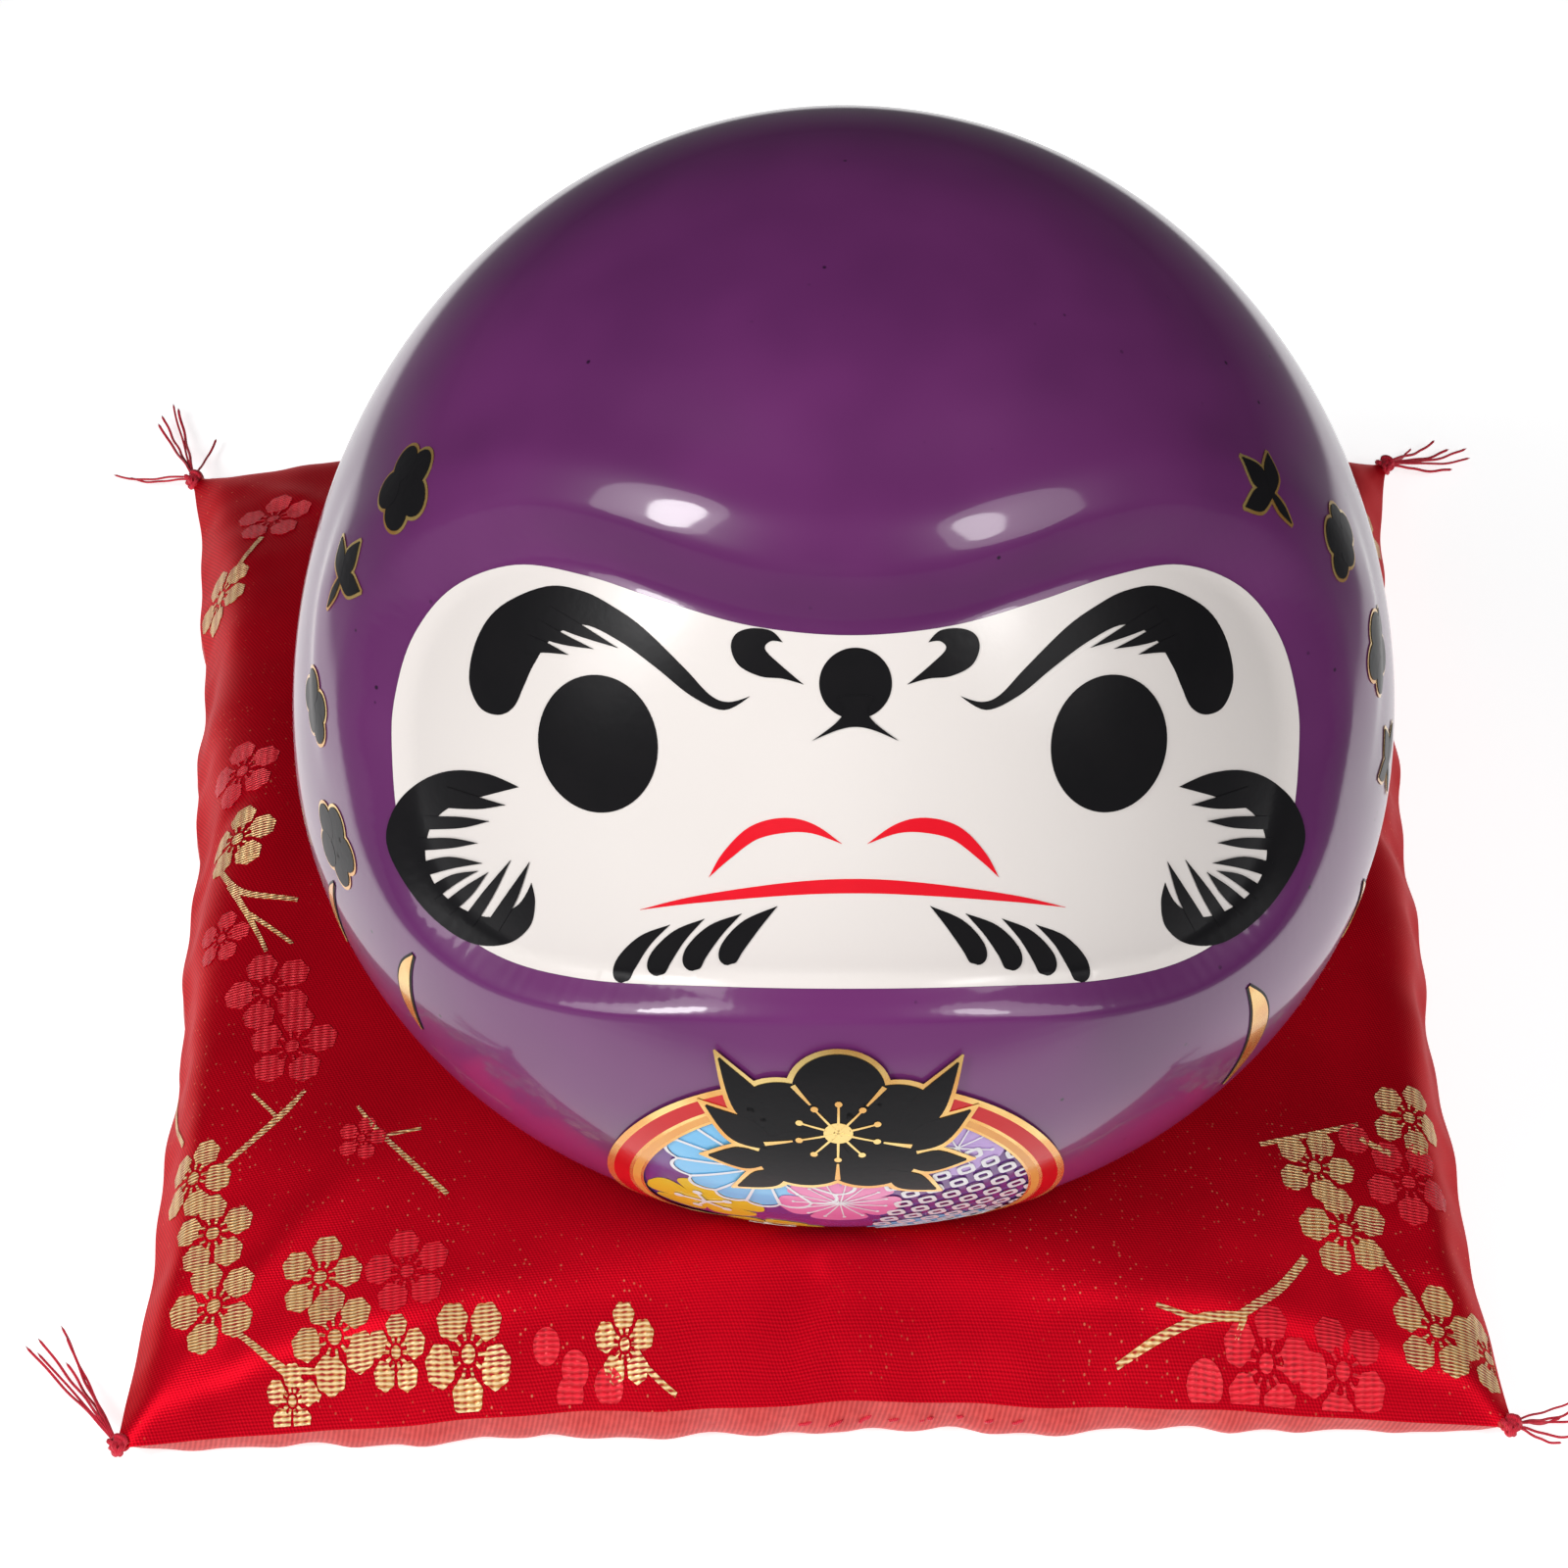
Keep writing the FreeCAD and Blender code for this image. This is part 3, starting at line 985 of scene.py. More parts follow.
CHIN_HAIRS: list[list[Point]] = [
    [(15.9, -17.4, 0.0), (18.1, -18.9, 1.2), (19.7, -20.9, 1.8), (20.2, -22.3, 1.5), (20.3, -22.8, 0.3)],
    [(12.9, -16.8, 0.0), (15.1, -18.4, 1.3), (16.7, -20.4, 1.9), (17.1, -21.6, 1.6), (17.2, -22.1, 0.3)],
    [(9.7, -16.3, 0.0), (12.0, -17.9, 1.4), (13.6, -19.8, 1.9), (14.0, -21.0, 1.6), (14.1, -21.5, 0.3)],
    [(6.6, -15.6, 0.0), (8.9, -17.4, 1.5), (10.4, -19.2, 1.9), (10.9, -20.4, 1.6), (11.0, -20.9, 0.3)],
]
EYE: Point = (22.1, -1.6, 5.2, 6.0)
NOSE_HEAD: Point = (0.0, 3.7, 3.1, 3.05)
NOSE_FEET: list[Point] = [
    (-3.7, -1.2, "sharp"), (-1.7, 0.3), (-1.0, 1.4), (-1.4, 2.6), (1.4, 2.6), (1.0, 1.4), (1.7, 0.3),
    (3.7, -1.2, "sharp"), (1.6, -0.3), (0.0, 0.0), (-1.6, -0.3),
]
MOUTH: list[Point] = [(-18.5, -16.1, 0.0), (-13.7, -15.1, 0.6), (-6.0, -14.1, 1.1), (0.0, -13.8, 1.25),
                      (6.0, -14.1, 1.1), (13.7, -15.0, 0.6), (18.5, -15.9, 0.0)]


@dataclass
class FaceArt:
    """The painted face: eyes, brows, whiskers, nose, mouth and chin."""

    doll: CeramicDoll
    decoration: Decoration
    centre: float = -0.15
    whisker_shift: tuple[float, float] = (0.3, -0.85)

    def disc(self, middle: Point, size: Point, turn: float = 0.0) -> bpy.types.Object:
        """Draw an oval."""
        return polar_patch(middle, lambda angle: 1.0, rings=7, stretch=size, turn=turn)

    def build(self, palette: Palette) -> None:
        """Paint the face.

        Args:
            palette: The finishes.
        """
        plane = self.doll.face_plane()
        lay = self.decoration.lay
        enamel = lay("face_enamel", [filled(self.doll.window(), 0.6 * MM)], plane, 0)
        keep(enamel, "doll", palette.enamel.build())
        ink, hairs, red = [], [], []
        for side, shift in zip((Side.LEFT, Side.RIGHT), self.whisker_shift):
            cheek = self.centre + shift
            ink.append(outline_of(mirrored(BROW, side, self.centre)))
            ink.append(outline_of(mirrored(WHISKER, side, cheek), 0.5 * MM))
            ink.append(outline_of(mirrored(COMMA, side, self.centre), 1.0 * MM))
            u, v, half_width, half_height = EYE
            middle = (self.centre + side.value * u, v)
            ink.append(self.disc(middle, (half_width, half_height), 9.0 * side.value * -1))
            hairs += [stroke(mirrored(points, side, self.centre)) for points in BROW_HAIRS]
            hairs += [stroke(mirrored(points, side, cheek)) for points in WHISKER_HAIRS]
            for points in CHIN_HAIRS:
                ink.append(stroke(mirrored(points, side, self.centre)))
            red.append(stroke(mirrored(LIP_ARC, side, self.centre)))
        u, v, half_width, half_height = NOSE_HEAD
        ink.append(self.disc((self.centre, v), (half_width, half_height)))
        hairs.append(outline_of(mirrored(NOSE_FEET, Side.RIGHT, self.centre), 0.8 * MM))
        red.append(stroke(mirrored(MOUTH, Side.RIGHT, self.centre), per_run=8))
        black = palette.ink.build()
        keep(lay("face_ink", ink, plane, 1), "doll", black)
        keep(lay("face_ink_hairs", hairs, plane, 2), "doll", black)
        keep(lay("lip_paint", red, plane, 1), "doll", palette.lip.build())


# The round badge on the belly, in millimetres from its middle.
BADGE_RINGS: list[tuple[str, float, float]] = [
    ("gold", 20.6, 20.0), ("ring_red", 20.0, 18.6), ("gold", 18.6, 18.3), ("orange", 18.3, 17.6),
    ("gold", 17.6, 17.35),
]
KANOKO_PITCH = 2.5
CREST_LEAVES: list[list[Point]] = [
    [(-5.5, 12.5, 0.6), (-7.6, 16.6, 3.4), (-10.4, 21.4, 0.2)],
    [(-5.2, 11.6, 0.6), (-8.3, 13.3, 3.4), (-11.6, 15.6, 0.2)],
    [(-5.6, 10.0, 0.6), (-8.4, 9.4, 3.2), (-11.4, 8.8, 0.2)],
    [(-4.6, 8.6, 0.6), (-6.4, 6.4, 2.8), (-8.8, 4.2, 0.2)],
]


def petal(middle: Point, reach: float, breadth: float, degrees: float,
          inner: float = 0.0) -> bpy.types.Object:
    """Draw one petal, narrow at the flower's middle and round at its end.

    Args:
        middle: The flower's middle.
        reach: How far the petal's end is from it.
        breadth: The petal's greatest width.
        degrees: The petal's direction.
        inner: Where the petal starts, as a share of its reach.

    Returns:
        The flat petal.
    """
    turn = math.radians(degrees)
    shares = [(inner, 0.35), (0.35 + inner / 2, 0.62), (0.62, 0.92), (0.80, 1.0), (0.93, 0.72), (1.0, 0.02)]
    along, up = reach * math.cos(turn), reach * math.sin(turn)
    points = [(middle[0] + along * at, middle[1] + up * at, breadth * width) for at, width in shares]
    return stroke(points, columns=6, per_run=4)


@dataclass
class BellyArt:
    """The decoration round the body: belly badge, gilt crescents and small crests on both sides."""

    doll: CeramicDoll
    decoration: Decoration

    def badge_plane(self) -> Matrix:
        """Return the plane of the badge, low on the belly."""
        return plane_at(self.doll.middle + Vector((-1.7, -49.5, -12.9)) * MM, 0.0, -15.0)

    def surface_plane(self, azimuth: float, height: float) -> Matrix:
        """Return a plane that touches the body.

        Args:
            azimuth: Degrees to the viewer's right.
            height: Height over the widest circle, in metres.

        Returns:
            The plane.
        """
        doll = self.doll
        rise = doll.crown_rise if height > 0 else doll.belly_depth
        radius = doll.half_width * math.sqrt(1 - (height / rise) ** 2)
        lean = math.degrees(math.atan2(height / rise**2, radius / doll.half_width**2))
        turn = math.radians(azimuth)
        middle = doll.middle + Vector((radius * math.sin(turn), -radius * math.cos(turn), height))
        return plane_at(middle, azimuth, lean)

    def flower(self, middle: Point, reach: float, count: int, breadth: float, turn: float) -> list:
        """Draw the petals of a flower."""
        return [petal(middle, reach, breadth, turn + 360.0 * index / count) for index in range(count)]

    def stamens(self, middle: Point, reach: float, count: int, width: float) -> list[bpy.types.Object]:
        """Draw fine lines out from a flower's middle, each with a dot at its end.

        Args:
            middle: The flower's middle.
            reach: Length of the lines.
            count: How many.
            width: Their width.

        Returns:
            The lines and dots.
        """
        lines = []
        for index in range(count):
            turn = 2 * math.pi * (index + 0.5) / count
            end = (middle[0] + reach * math.cos(turn), middle[1] + reach * math.sin(turn))
            lines.append(stroke([(*middle, width), (*end, width * 0.7)], columns=2))
            lines.append(polar_patch(end, lambda angle: width * 1.3, rings=2, steps=10))
        return lines

    def scalloped_ring(self, middle: Point, reach: float, width: float, petals: int,
                       turn: float) -> bpy.types.Object:
        """Draw a thin outline that follows a flower's petals.

        Args:
            middle: The flower's middle.
            reach: How far the petals' ends are from it.
            width: Width of the line.
            petals: How many petals.
            turn: Degrees that the flower is turned.

        Returns:
            The outline.
        """
        def edge(angle: float) -> float:
            """Return the outline's reach at an angle."""
            return reach * (0.86 + 0.14 * abs(math.cos(petals / 2 * (angle - math.radians(turn)))) ** 0.6)
        return polar_patch(middle, edge, 1 - width / reach, rings=1, steps=20 * petals)

    def kanoko(self) -> list[bpy.types.Object]:
        """Draw the dapple-dyed ground: rows of small hollow squares.

        Returns:
            The squares.
        """
        def edge(angle: float) -> float:
            """Return a rounded square's reach at an angle."""
            return 0.80 / max(abs(math.cos(angle)), abs(math.sin(angle))) ** 0.75

        squares = []
        for row in range(-6, 5):
            for column in range(-6, 9):
                across = (column + 0.5 * (row % 2)) * KANOKO_PITCH * 0.92
                u, v = 6.0 + across * 0.94 - row * 0.5, 1.0 + row * KANOKO_PITCH * 0.86 + across * 0.22
                beyond_field = math.hypot(u, v) > 18.0 or u < 4.2 or v > 9.4
                under_rose = math.hypot(u + 0.7, v - 2.8) < 6.0
                if beyond_field or under_rose:
                    continue
                squares.append(polar_patch((u, v), edge, 0.52, 1, 20, turn=14.0))
        return squares

    def build_badge(self, palette: Palette) -> None:
        """Paint the badge: its rings, the flowers in it and the crest over it.

        Args:
            palette: The finishes.
        """
        plane = self.badge_plane()
        finish = {
            "gold": palette.gold.build(), "ring_red": palette.ring_red.build(),
            "orange": palette.orange.build(), "violet": palette.violet.build(),
            "sky": palette.sky.build(), "chalk": palette.chalk.build(),
            "leaf": palette.leaf.build(), "yellow": palette.yellow.build(),
            "pink": palette.pink.build(), "lilac": palette.lilac.build(), "ink": palette.ink.build(),
        }
        fan, plum, rose, bell = (-6.6, 8.2), (-11.8, -2.4), (0.3, 1.8), (10.6, 10.6)
        low_fan, low_plum = (9.0, -11.0), (-5.5, -11.0)
        art: list[tuple[str, int, list]] = [
            ("violet", 0, [polar_patch((0.0, 0.0), lambda angle: 17.8, rings=24, steps=120)]),
            ("sky", 1, self.flower(fan, 8.6, 16, 3.2, 0.0) + self.flower(low_fan, 6.0, 16, 2.4, 0.0)),
            ("yellow", 1, self.flower(plum, 5.4, 5, 4.8, 20.0) + self.flower(low_plum, 4.6, 5, 4.0, 0.0)),
            ("pink", 2, self.flower(rose, 5.6, 5, 5.2, 54.0)),
            ("lilac", 1, self.flower(bell, 4.8, 8, 3.2, 10.0)),
        ]
        white = [stroke([(fan[0] + 2.0 * math.cos(a), fan[1] + 2.0 * math.sin(a), 0.22),
                         (fan[0] + 8.0 * math.cos(a), fan[1] + 8.0 * math.sin(a), 0.30)], columns=2)
                 for a in [math.radians(11.25 + 22.5 * index) for index in range(16)]]
        white.append(self.scalloped_ring(fan, 8.9, 0.35, 16, 0.0))
        white += self.stamens(plum, 2.4, 5, 0.34) + self.kanoko() + self.stamens(bell, 3.4, 8, 0.16)
        white += self.stamens(rose, 4.2, 15, 0.13) + self.stamens(low_plum, 2.0, 5, 0.3)
        art.append(("chalk", 3, white))
        art.append(("leaf", 4, [polar_patch(fan, lambda angle: 1.6, rings=3, steps=28)]))
        for index, (name, outer, inner) in enumerate(BADGE_RINGS):
            ring = polar_patch((0.0, 0.0), lambda angle, outer=outer: outer, inner / outer, 2, 200)
            art.append((name, 4, [ring]))
        for index, (name, layer, shapes) in enumerate(art):
            film = self.decoration.lay(f"badge_{name}_{index}", shapes, plane, layer)
            keep(film, "doll", finish[name])
        self.build_crest(plane, finish)

    def crest(self, grow: float) -> list[bpy.types.Object]:
        """Draw the crest's solid shapes: a plum blossom between two sprays of bamboo leaves.

        Args:
            grow: How much larger it is than the painted one, for its gilt edge.

        Returns:
            The shapes.
        """
        shapes = [polar_patch((0.0, 14.2), lambda angle: 4.6 + grow, rings=5)]
        for index in range(5):
            turn = math.radians(90.0 + 72.0 * index)
            middle = (5.0 * math.cos(turn), 14.2 + 5.0 * math.sin(turn))
            shapes.append(polar_patch(middle, lambda angle: 4.1 + grow, rings=5))
        for side in Side:
            for leaf in CREST_LEAVES:
                wide = [(u * side.value, v, width + 2 * grow) for u, v, width in leaf]
                tip_u, tip_v = leaf[-1][0] - leaf[0][0], leaf[-1][1] - leaf[0][1]
                stretch = 1 + 1.6 * grow / math.hypot(tip_u, tip_v)
                wide[-1] = ((leaf[0][0] + tip_u * stretch) * side.value, leaf[0][1] + tip_v * stretch, 0.2)
                shapes.append(stroke(wide, columns=6, per_run=8))
        return shapes

    def build_crest(self, plane: Matrix, finish: dict[str, bpy.types.Material]) -> None:
        """Paint the black crest with its gilt edge over the badge.

        Args:
            plane: The badge's plane.
            finish: The finishes by name.
        """
        lay = self.decoration.lay
        keep(lay("crest_edge", self.crest(0.55), plane, 5), "doll", finish["gold"])
        keep(lay("crest_ink", self.crest(0.0), plane, 6), "doll", finish["ink"])
        lines = self.stamens((0.0, 14.2), 3.6, 10, 0.26)
        lines.append(polar_patch((0.0, 14.2), lambda angle: 1.3, rings=3, steps=28))
        for index in range(5):
            turn = math.radians(126.0 + 72.0 * index)
            start = (4.2 * math.cos(turn), 14.2 + 4.2 * math.sin(turn), 0.2)
            end = (6.8 * math.cos(turn), 14.2 + 6.8 * math.sin(turn), 0.5)
            lines.append(stroke([start, end], columns=2))
        keep(lay("crest_lines", lines, plane, 7), "doll", finish["gold"])

    def small_crest(self, kind: int, grow: float) -> list[bpy.types.Object]:
        """Draw one small crest: a blossom, a leaf sprig or a cloud.

        Args:
            kind: Which one, in turn.
            grow: How much larger it is than the painted one, for its gilt edge.

        Returns:
            The shapes.
        """
        if kind % 3 == 0:
            shapes = [polar_patch((0.0, 0.0), lambda angle: 2.0 + grow, rings=3, steps=32)]
            for index in range(5):
                turn = math.radians(90.0 + 72.0 * index)
                middle = (2.35 * math.cos(turn), 2.35 * math.sin(turn))
                shapes.append(polar_patch(middle, lambda angle: 1.75 + grow, rings=3, steps=32))
            return shapes
        if kind % 3 == 1:
            leaves = [(90.0, 4.6, 2.3), (152.0, 4.0, 2.1), (28.0, 4.0, 2.1), (-90.0, 3.6, 0.9)]
            return [stroke([(-0.25 * grow * math.cos(t), -0.25 * grow * math.sin(t), 0.5 + 2 * grow),
                            (0.5 * reach * math.cos(t), 0.5 * reach * math.sin(t), wide + 2 * grow),
                            ((reach + grow) * math.cos(t), (reach + grow) * math.sin(t), 0.1 + grow)],
                           columns=4, per_run=8)
                    for t, reach, wide in [(math.radians(d), reach, wide) for d, reach, wide in leaves]]
        rounds = [(-2.2, -0.8, 1.5), (2.2, -0.8, 1.5), (0.0, -1.2, 1.7), (-1.0, 1.3, 1.7), (1.5, 1.0, 1.5)]
        return [polar_patch((u, v), lambda angle, size=size: size + grow, rings=3, steps=32)
                for u, v, size in rounds]

    def build(self, palette: Palette) -> None:
        """Paint everything round the body.

        Args:
            palette: The finishes.
        """
        self.build_badge(palette)
        gold, ink = palette.gold.build(), palette.ink.build()
        lay = self.decoration.lay
        places = [(-76.9, 39.1), (-77.9, 28.4), (-74.6, 16.1), (-65.1, 6.5),
                  (70.5, 40.6), (78.0, 31.4), (76.9, 19.3), (74.9, 6.5)]
        for index, (azimuth, height) in enumerate(places):
            plane = self.surface_plane(azimuth, height * MM)
            edge = lay(f"small_crest_edge_{index}", self.small_crest(index, 0.32), plane, 0)
            keep(edge, "doll", gold)
            shape = lay(f"small_crest_{index}", self.small_crest(index, 0.0), plane, 1)
            keep(shape, "doll", ink)
        crescents = [(-51.4, -1.0, 1.0, 0.62), (45.5, -4.2, -1.0, 0.9), (-67.0, -3.5, 1.0, 0.5),
                     (68.0, -6.0, -1.0, 0.5)]
        for index, (azimuth, height, bend, size) in enumerate(crescents):
            plane = self.surface_plane(azimuth, height * MM)
            spine = [(2.4, 8.6, 0.15), (0.7, 4.6, 1.9), (0.0, 0.0, 2.7), (0.6, -4.4, 2.1), (2.3, -8.4, 0.15)]
            moon = [(u * bend * size, v * size, width * size) for u, v, width in spine]
            rim = [(u, v, width + 0.5) for u, v, width in moon]
            keep(lay(f"crescent_edge_{index}", [stroke(rim, 6, 8)], plane, 0), "doll", ink)
            keep(lay(f"crescent_{index}", [stroke(moon, 6, 8)], plane, 1), "doll", gold)


# Woven figures of the brocade: middle, radius and turn, in millimetres and degrees on the flat panel.
GOLD_BLOSSOMS: list[Point] = [
    (-56.5, 5.5, 4.4, 10), (-59.5, -39.0, 4.2, 60), (-57.0, -46.0, 4.4, 20), (-57.0, -55.0, 4.8, 35),
    (-39.5, -60.0, 3.0, 15), (-32.5, -60.5, 4.4, 50), (48.0, -39.0, 4.2, 0), (50.5, -47.0, 4.8, 30),
    (59.0, -60.0, 4.8, 12), (64.0, -64.0, 4.2, 40), (58.0, -33.0, 4.2, 70), (61.5, 49.0, 4.2, 0),
    (62.0, 40.0, 4.0, 25), (-46.5, -51.0, 4.3, 5), (-45.3, -58.0, 4.4, 44), (-49.0, -66.5, 2.6, 15),
    (-61.0, 40.0, 4.4, 30), (-30.0, 58.0, 4.6, 0), (-14.0, 60.0, 4.2, 30), (20.0, 56.0, 4.6, 12),
    (40.0, 59.0, 4.4, 50), (-18.0, -60.0, 3.0, 20),
]
RED_BLOSSOMS: list[Point] = [
    (-56.5, 15.0, 4.4, 20), (-57.5, -8.0, 3.2, 0), (-52.5, -15.0, 4.8, 35), (-50.0, -22.0, 4.8, 10),
    (-43.0, -33.5, 2.6, 0), (-38.2, -50.0, 4.4, 25), (42.5, -64.0, 4.6, 10), (49.5, -65.0, 4.6, 44),
    (57.5, -41.5, 4.8, 60), (-55.5, 52.0, 4.6, 10), (-5.0, 56.0, 4.4, 40), (32.0, 52.0, 4.6, 5),
    (-22.5, -63.0, 1.3, 0), (-25.0, -60.0, 1.3, 40), (-19.5, -65.5, 1.4, 10), (-23.0, -66.0, 1.3, 70),
    (36.5, -66.0, 1.8, 0), (52.0, -35.4, 1.6, 20),
]
TWIGS: list[list[Point]] = [
    [(-58.5, 1.0, 0.5), (-56.0, -1.6, 0.7), (-50.0, -3.0, 0.5)],
    [(-57.0, -1.0, 0.6), (-55.4, -4.6, 0.6), (-53.0, -9.5, 0.4)],
    [(-55.4, -4.6, 0.5), (-50.5, -8.5, 0.4)],
    [(-48.6, -27.8, 0.4), (-51.4, -31.2, 0.7), (-56.5, -37.5, 0.5)],
    [(-51.4, -31.2, 0.4), (-53.6, -28.0, 0.3)],
    [(-43.4, -29.5, 0.3), (-41.0, -33.4, 0.5), (-34.5, -41.0, 0.5)],
    [(-41.0, -33.4, 0.4), (-37.0, -32.6, 0.3)],
    [(-54.5, -58.0, 0.5), (-51.0, -62.0, 0.7), (-46.6, -66.6, 0.6)],
    [(-50.5, -62.5, 0.5), (-45.5, -63.0, 0.4)],
    [(-17.0, -59.0, 0.4), (-16.4, -62.4, 0.5), (-13.0, -66.0, 0.4)],
    [(46.5, -50.5, 0.8), (43.6, -54.6, 0.9), (40.0, -57.5, 0.8)],
    [(40.0, -57.5, 0.8), (35.5, -57.6, 0.8), (28.5, -64.0, 0.5)],
    [(40.5, -57.0, 0.6), (39.5, -61.5, 0.4)],
    [(36.0, -57.6, 0.5), (32.0, -55.2, 0.4)],
    [(51.5, -35.0, 0.6), (55.5, -38.0, 0.6)],
    [(43.0, -36.0, 0.5), (52.5, -34.0, 0.5)],
    [(-24.0, 57.0, 0.7), (-18.0, 59.5, 0.6)],
    [(14.0, 53.0, 0.7), (5.0, 50.0, 0.5)],
    [(-59.6, 44.0, 0.6), (-57.0, 49.0, 0.6)],
    [(36.0, 56.5, 0.6), (34.0, 53.0, 0.6)],
    [(53.5, -50.0, 0.6), (57.0, -56.0, 0.6)],
    [(-60.5, -35.0, 0.5), (-63.0, -30.0, 0.3)],
]


@dataclass
class Zabuton:
    """The square cushion: a filling between a brocade panel and a twill panel, sewn round the edge."""

    doll: CeramicDoll
    flat_side: float = 136.5 * MM
    cells: int = 84
    frames: int = 20
    pressure: float = 4.0
    corner_reach: float = 66.1 * MM
    crown: float = 20.3 * MM
    seam: float = 7.4 * MM
    corner_seam: float = 2.8 * MM
    belly: float = 1.5 * MM
    side_pull: float = 2.6 * MM
    back_pull: float = 3.0 * MM
    front_ease: float = 1.1 * MM
    cloth: float = 0.5 * MM
    seat_gap: float = 0.3 * MM
    plane_height: float = 10.0 * MM
    plane_slope: float = 0.94
    float_lift: float = 0.03 * MM
    stitch_count: int = 8
    stitch_length: float = 1.9 * MM
    stitch_height: float = 4.2 * MM

    def flat_panel(self, name: str, upper: bool) -> bpy.types.Object:
        """Cut one square panel, flat and very slightly bellied, with its own UV map.

        Args:
            name: Name of the panel.
            upper: Whether it is the upper one.

        Returns:
            The panel.
        """
        bpy.ops.mesh.primitive_grid_add(x_subdivisions=self.cells, y_subdivisions=self.cells,
                                        size=self.flat_side)
        panel = bpy.context.object
        panel.name = name
        points = coordinates(panel)
        panel.data.uv_layers[0].name = "panel"
        edge = self.flat_side / 2 - np.abs(points[:, :2]).max(axis=1)
        points[:, 2] = (1.0 if upper else -1.0) * 2.0 * MM * np.clip(edge / (14.0 * MM), 0.0, 1.0)
        place_vertices(panel, points)
        if not upper:
            edit(panel)
            bpy.ops.mesh.flip_normals()
            leave_edit()
        return panel

    def inflate(self, cover: bpy.types.Object) -> None:
        """Blow the sewn cover up like a filled pillow, and keep the result.

        Args:
            cover: The two panels, sewn together.
        """
        cloth = cover.modifiers.new("filling pressure", "CLOTH")
        cloth.settings.quality = 6
        cloth.settings.use_pressure = True
        cloth.settings.uniform_pressure_force = self.pressure
        cloth.settings.effector_weights.gravity = 0.0
        cloth.settings.bending_stiffness = 0.5
        cloth.collision_settings.use_collision = False
        cloth.point_cache.frame_start = 1
        cloth.point_cache.frame_end = self.frames
        scene = bpy.context.scene
        for number in range(1, self.frames + 1):
            scene.frame_set(number)
        apply_modifiers(cover)
        scene.frame_set(1)

    def doll_underside(self, x: np.ndarray, y: np.ndarray) -> np.ndarray:
        """Follow the doll's underside over the cushion.

        Args:
            x: Each point's X.
            y: Each point's Y.

        Returns:
            The underside's height over each point.
        """
        doll = self.doll
        radius = np.hypot(x - doll.middle.x, y - doll.middle.y)
        share = np.clip(radius / doll.half_width, 0.0, 1.0)
        side = doll.middle.z - doll.belly_depth * np.sqrt(1.0 - share**2)
        foot = doll.middle.z - doll.waist
        return np.where(radius > doll.half_width, 1.0, np.maximum(side, foot))

    def rest(self, cover: bpy.types.Object) -> None:
        """Lay the blown-up cover on the table and press the doll's seat into it.

        Args:
            cover: The blown-up cover.
        """
        points = coordinates(cover)
        corner = np.abs(points[:, :2]).min(axis=1).max()
        x, y = (points[:, :2] * self.corner_reach / corner).T
        top, bottom = points[:, 2].max(), -points[:, 2].min()
        near_corner = np.clip(np.abs(x * y) / self.corner_reach**2, 0.0, 1.0) ** 1.5
        edge = smoothstep(0.0, 1.0, np.clip(1.0 - np.abs(points[:, 2]) / top / 0.8, 0.0, 1.0))
        x, y = self.pull_in(x, y, edge)
        seam = self.seam + (self.corner_seam - self.seam) * near_corner
        rise = np.clip(points[:, 2] / top, 0.0, 1.0) * (self.crown - self.seam)
        depth = np.clip(-points[:, 2] / bottom, 0.0, 1.0)
        z = seam + rise - depth * 26.0 * MM + self.pucker(x, y, edge)
        soft = 0.9 * MM
        z = 0.5 * (z + np.sqrt(z**2 + soft**2))
        z -= z.min() - 0.05 * MM
        x, y = self.belly_out(x, y, depth, near_corner)
        roof = self.doll_underside(x, y) - self.seat_gap
        press = 1.2 * MM
        pressed = 0.5 * (z + roof - np.sqrt((z - roof) ** 2 + press**2))
        z = np.where(points[:, 2] > 0, np.minimum(pressed, z), z)
        place_vertices(cover, np.column_stack([x, y, z]))

    def pull_in(self, x: np.ndarray, y: np.ndarray, edge: np.ndarray) -> tuple[np.ndarray, np.ndarray]:
        """Draw the sides in between the corners, unevenly, as the filling pulls on the seam.

        Args:
            x: Each point's X.
            y: Each point's Y.
            edge: How near each point is to the seam, from 0 to 1.

        Returns:
            The new X and Y.
        """
        across, along = x / self.corner_reach, y / self.corner_reach
        wobble_x = 0.35 * np.sin(y / MM * 0.24 + 0.7) + 0.22 * np.sin(y / MM * 0.61 + np.sign(x))
        wobble_y = 0.25 * np.sin(x / MM * 0.20 + 0.3) + 0.15 * np.sin(x / MM * 0.52)
        side = (self.side_pull + wobble_x * MM) * across**2 * np.clip(1.0 - along**2, 0.0, 1.0) ** 0.7
        end = np.where(y < 0, -self.front_ease, self.back_pull) + wobble_y * MM
        end *= along**2 * np.clip(1.0 - across**2, 0.0, 1.0)
        share = 0.4 + 0.6 * edge
        return x - np.sign(x) * side * share, y - np.sign(y) * end * share

    def pucker(self, x: np.ndarray, y: np.ndarray, edge: np.ndarray) -> np.ndarray:
        """Ripple the cloth beside the seam.

        Args:
            x: Each point's X.
            y: Each point's Y.
            edge: How near each point is to the seam, from 0 to 1.

        Returns:
            How much each point rises.
        """
        along = np.where(np.abs(x) > np.abs(y), y, x) / MM
        ripple = np.sin(along * 0.45 + 0.8 * np.sin(along * 0.17)) + 0.5 * np.sin(along * 1.05 + 1.0)
        return 0.28 * MM * ripple * edge * (1.0 - edge) * 3.0

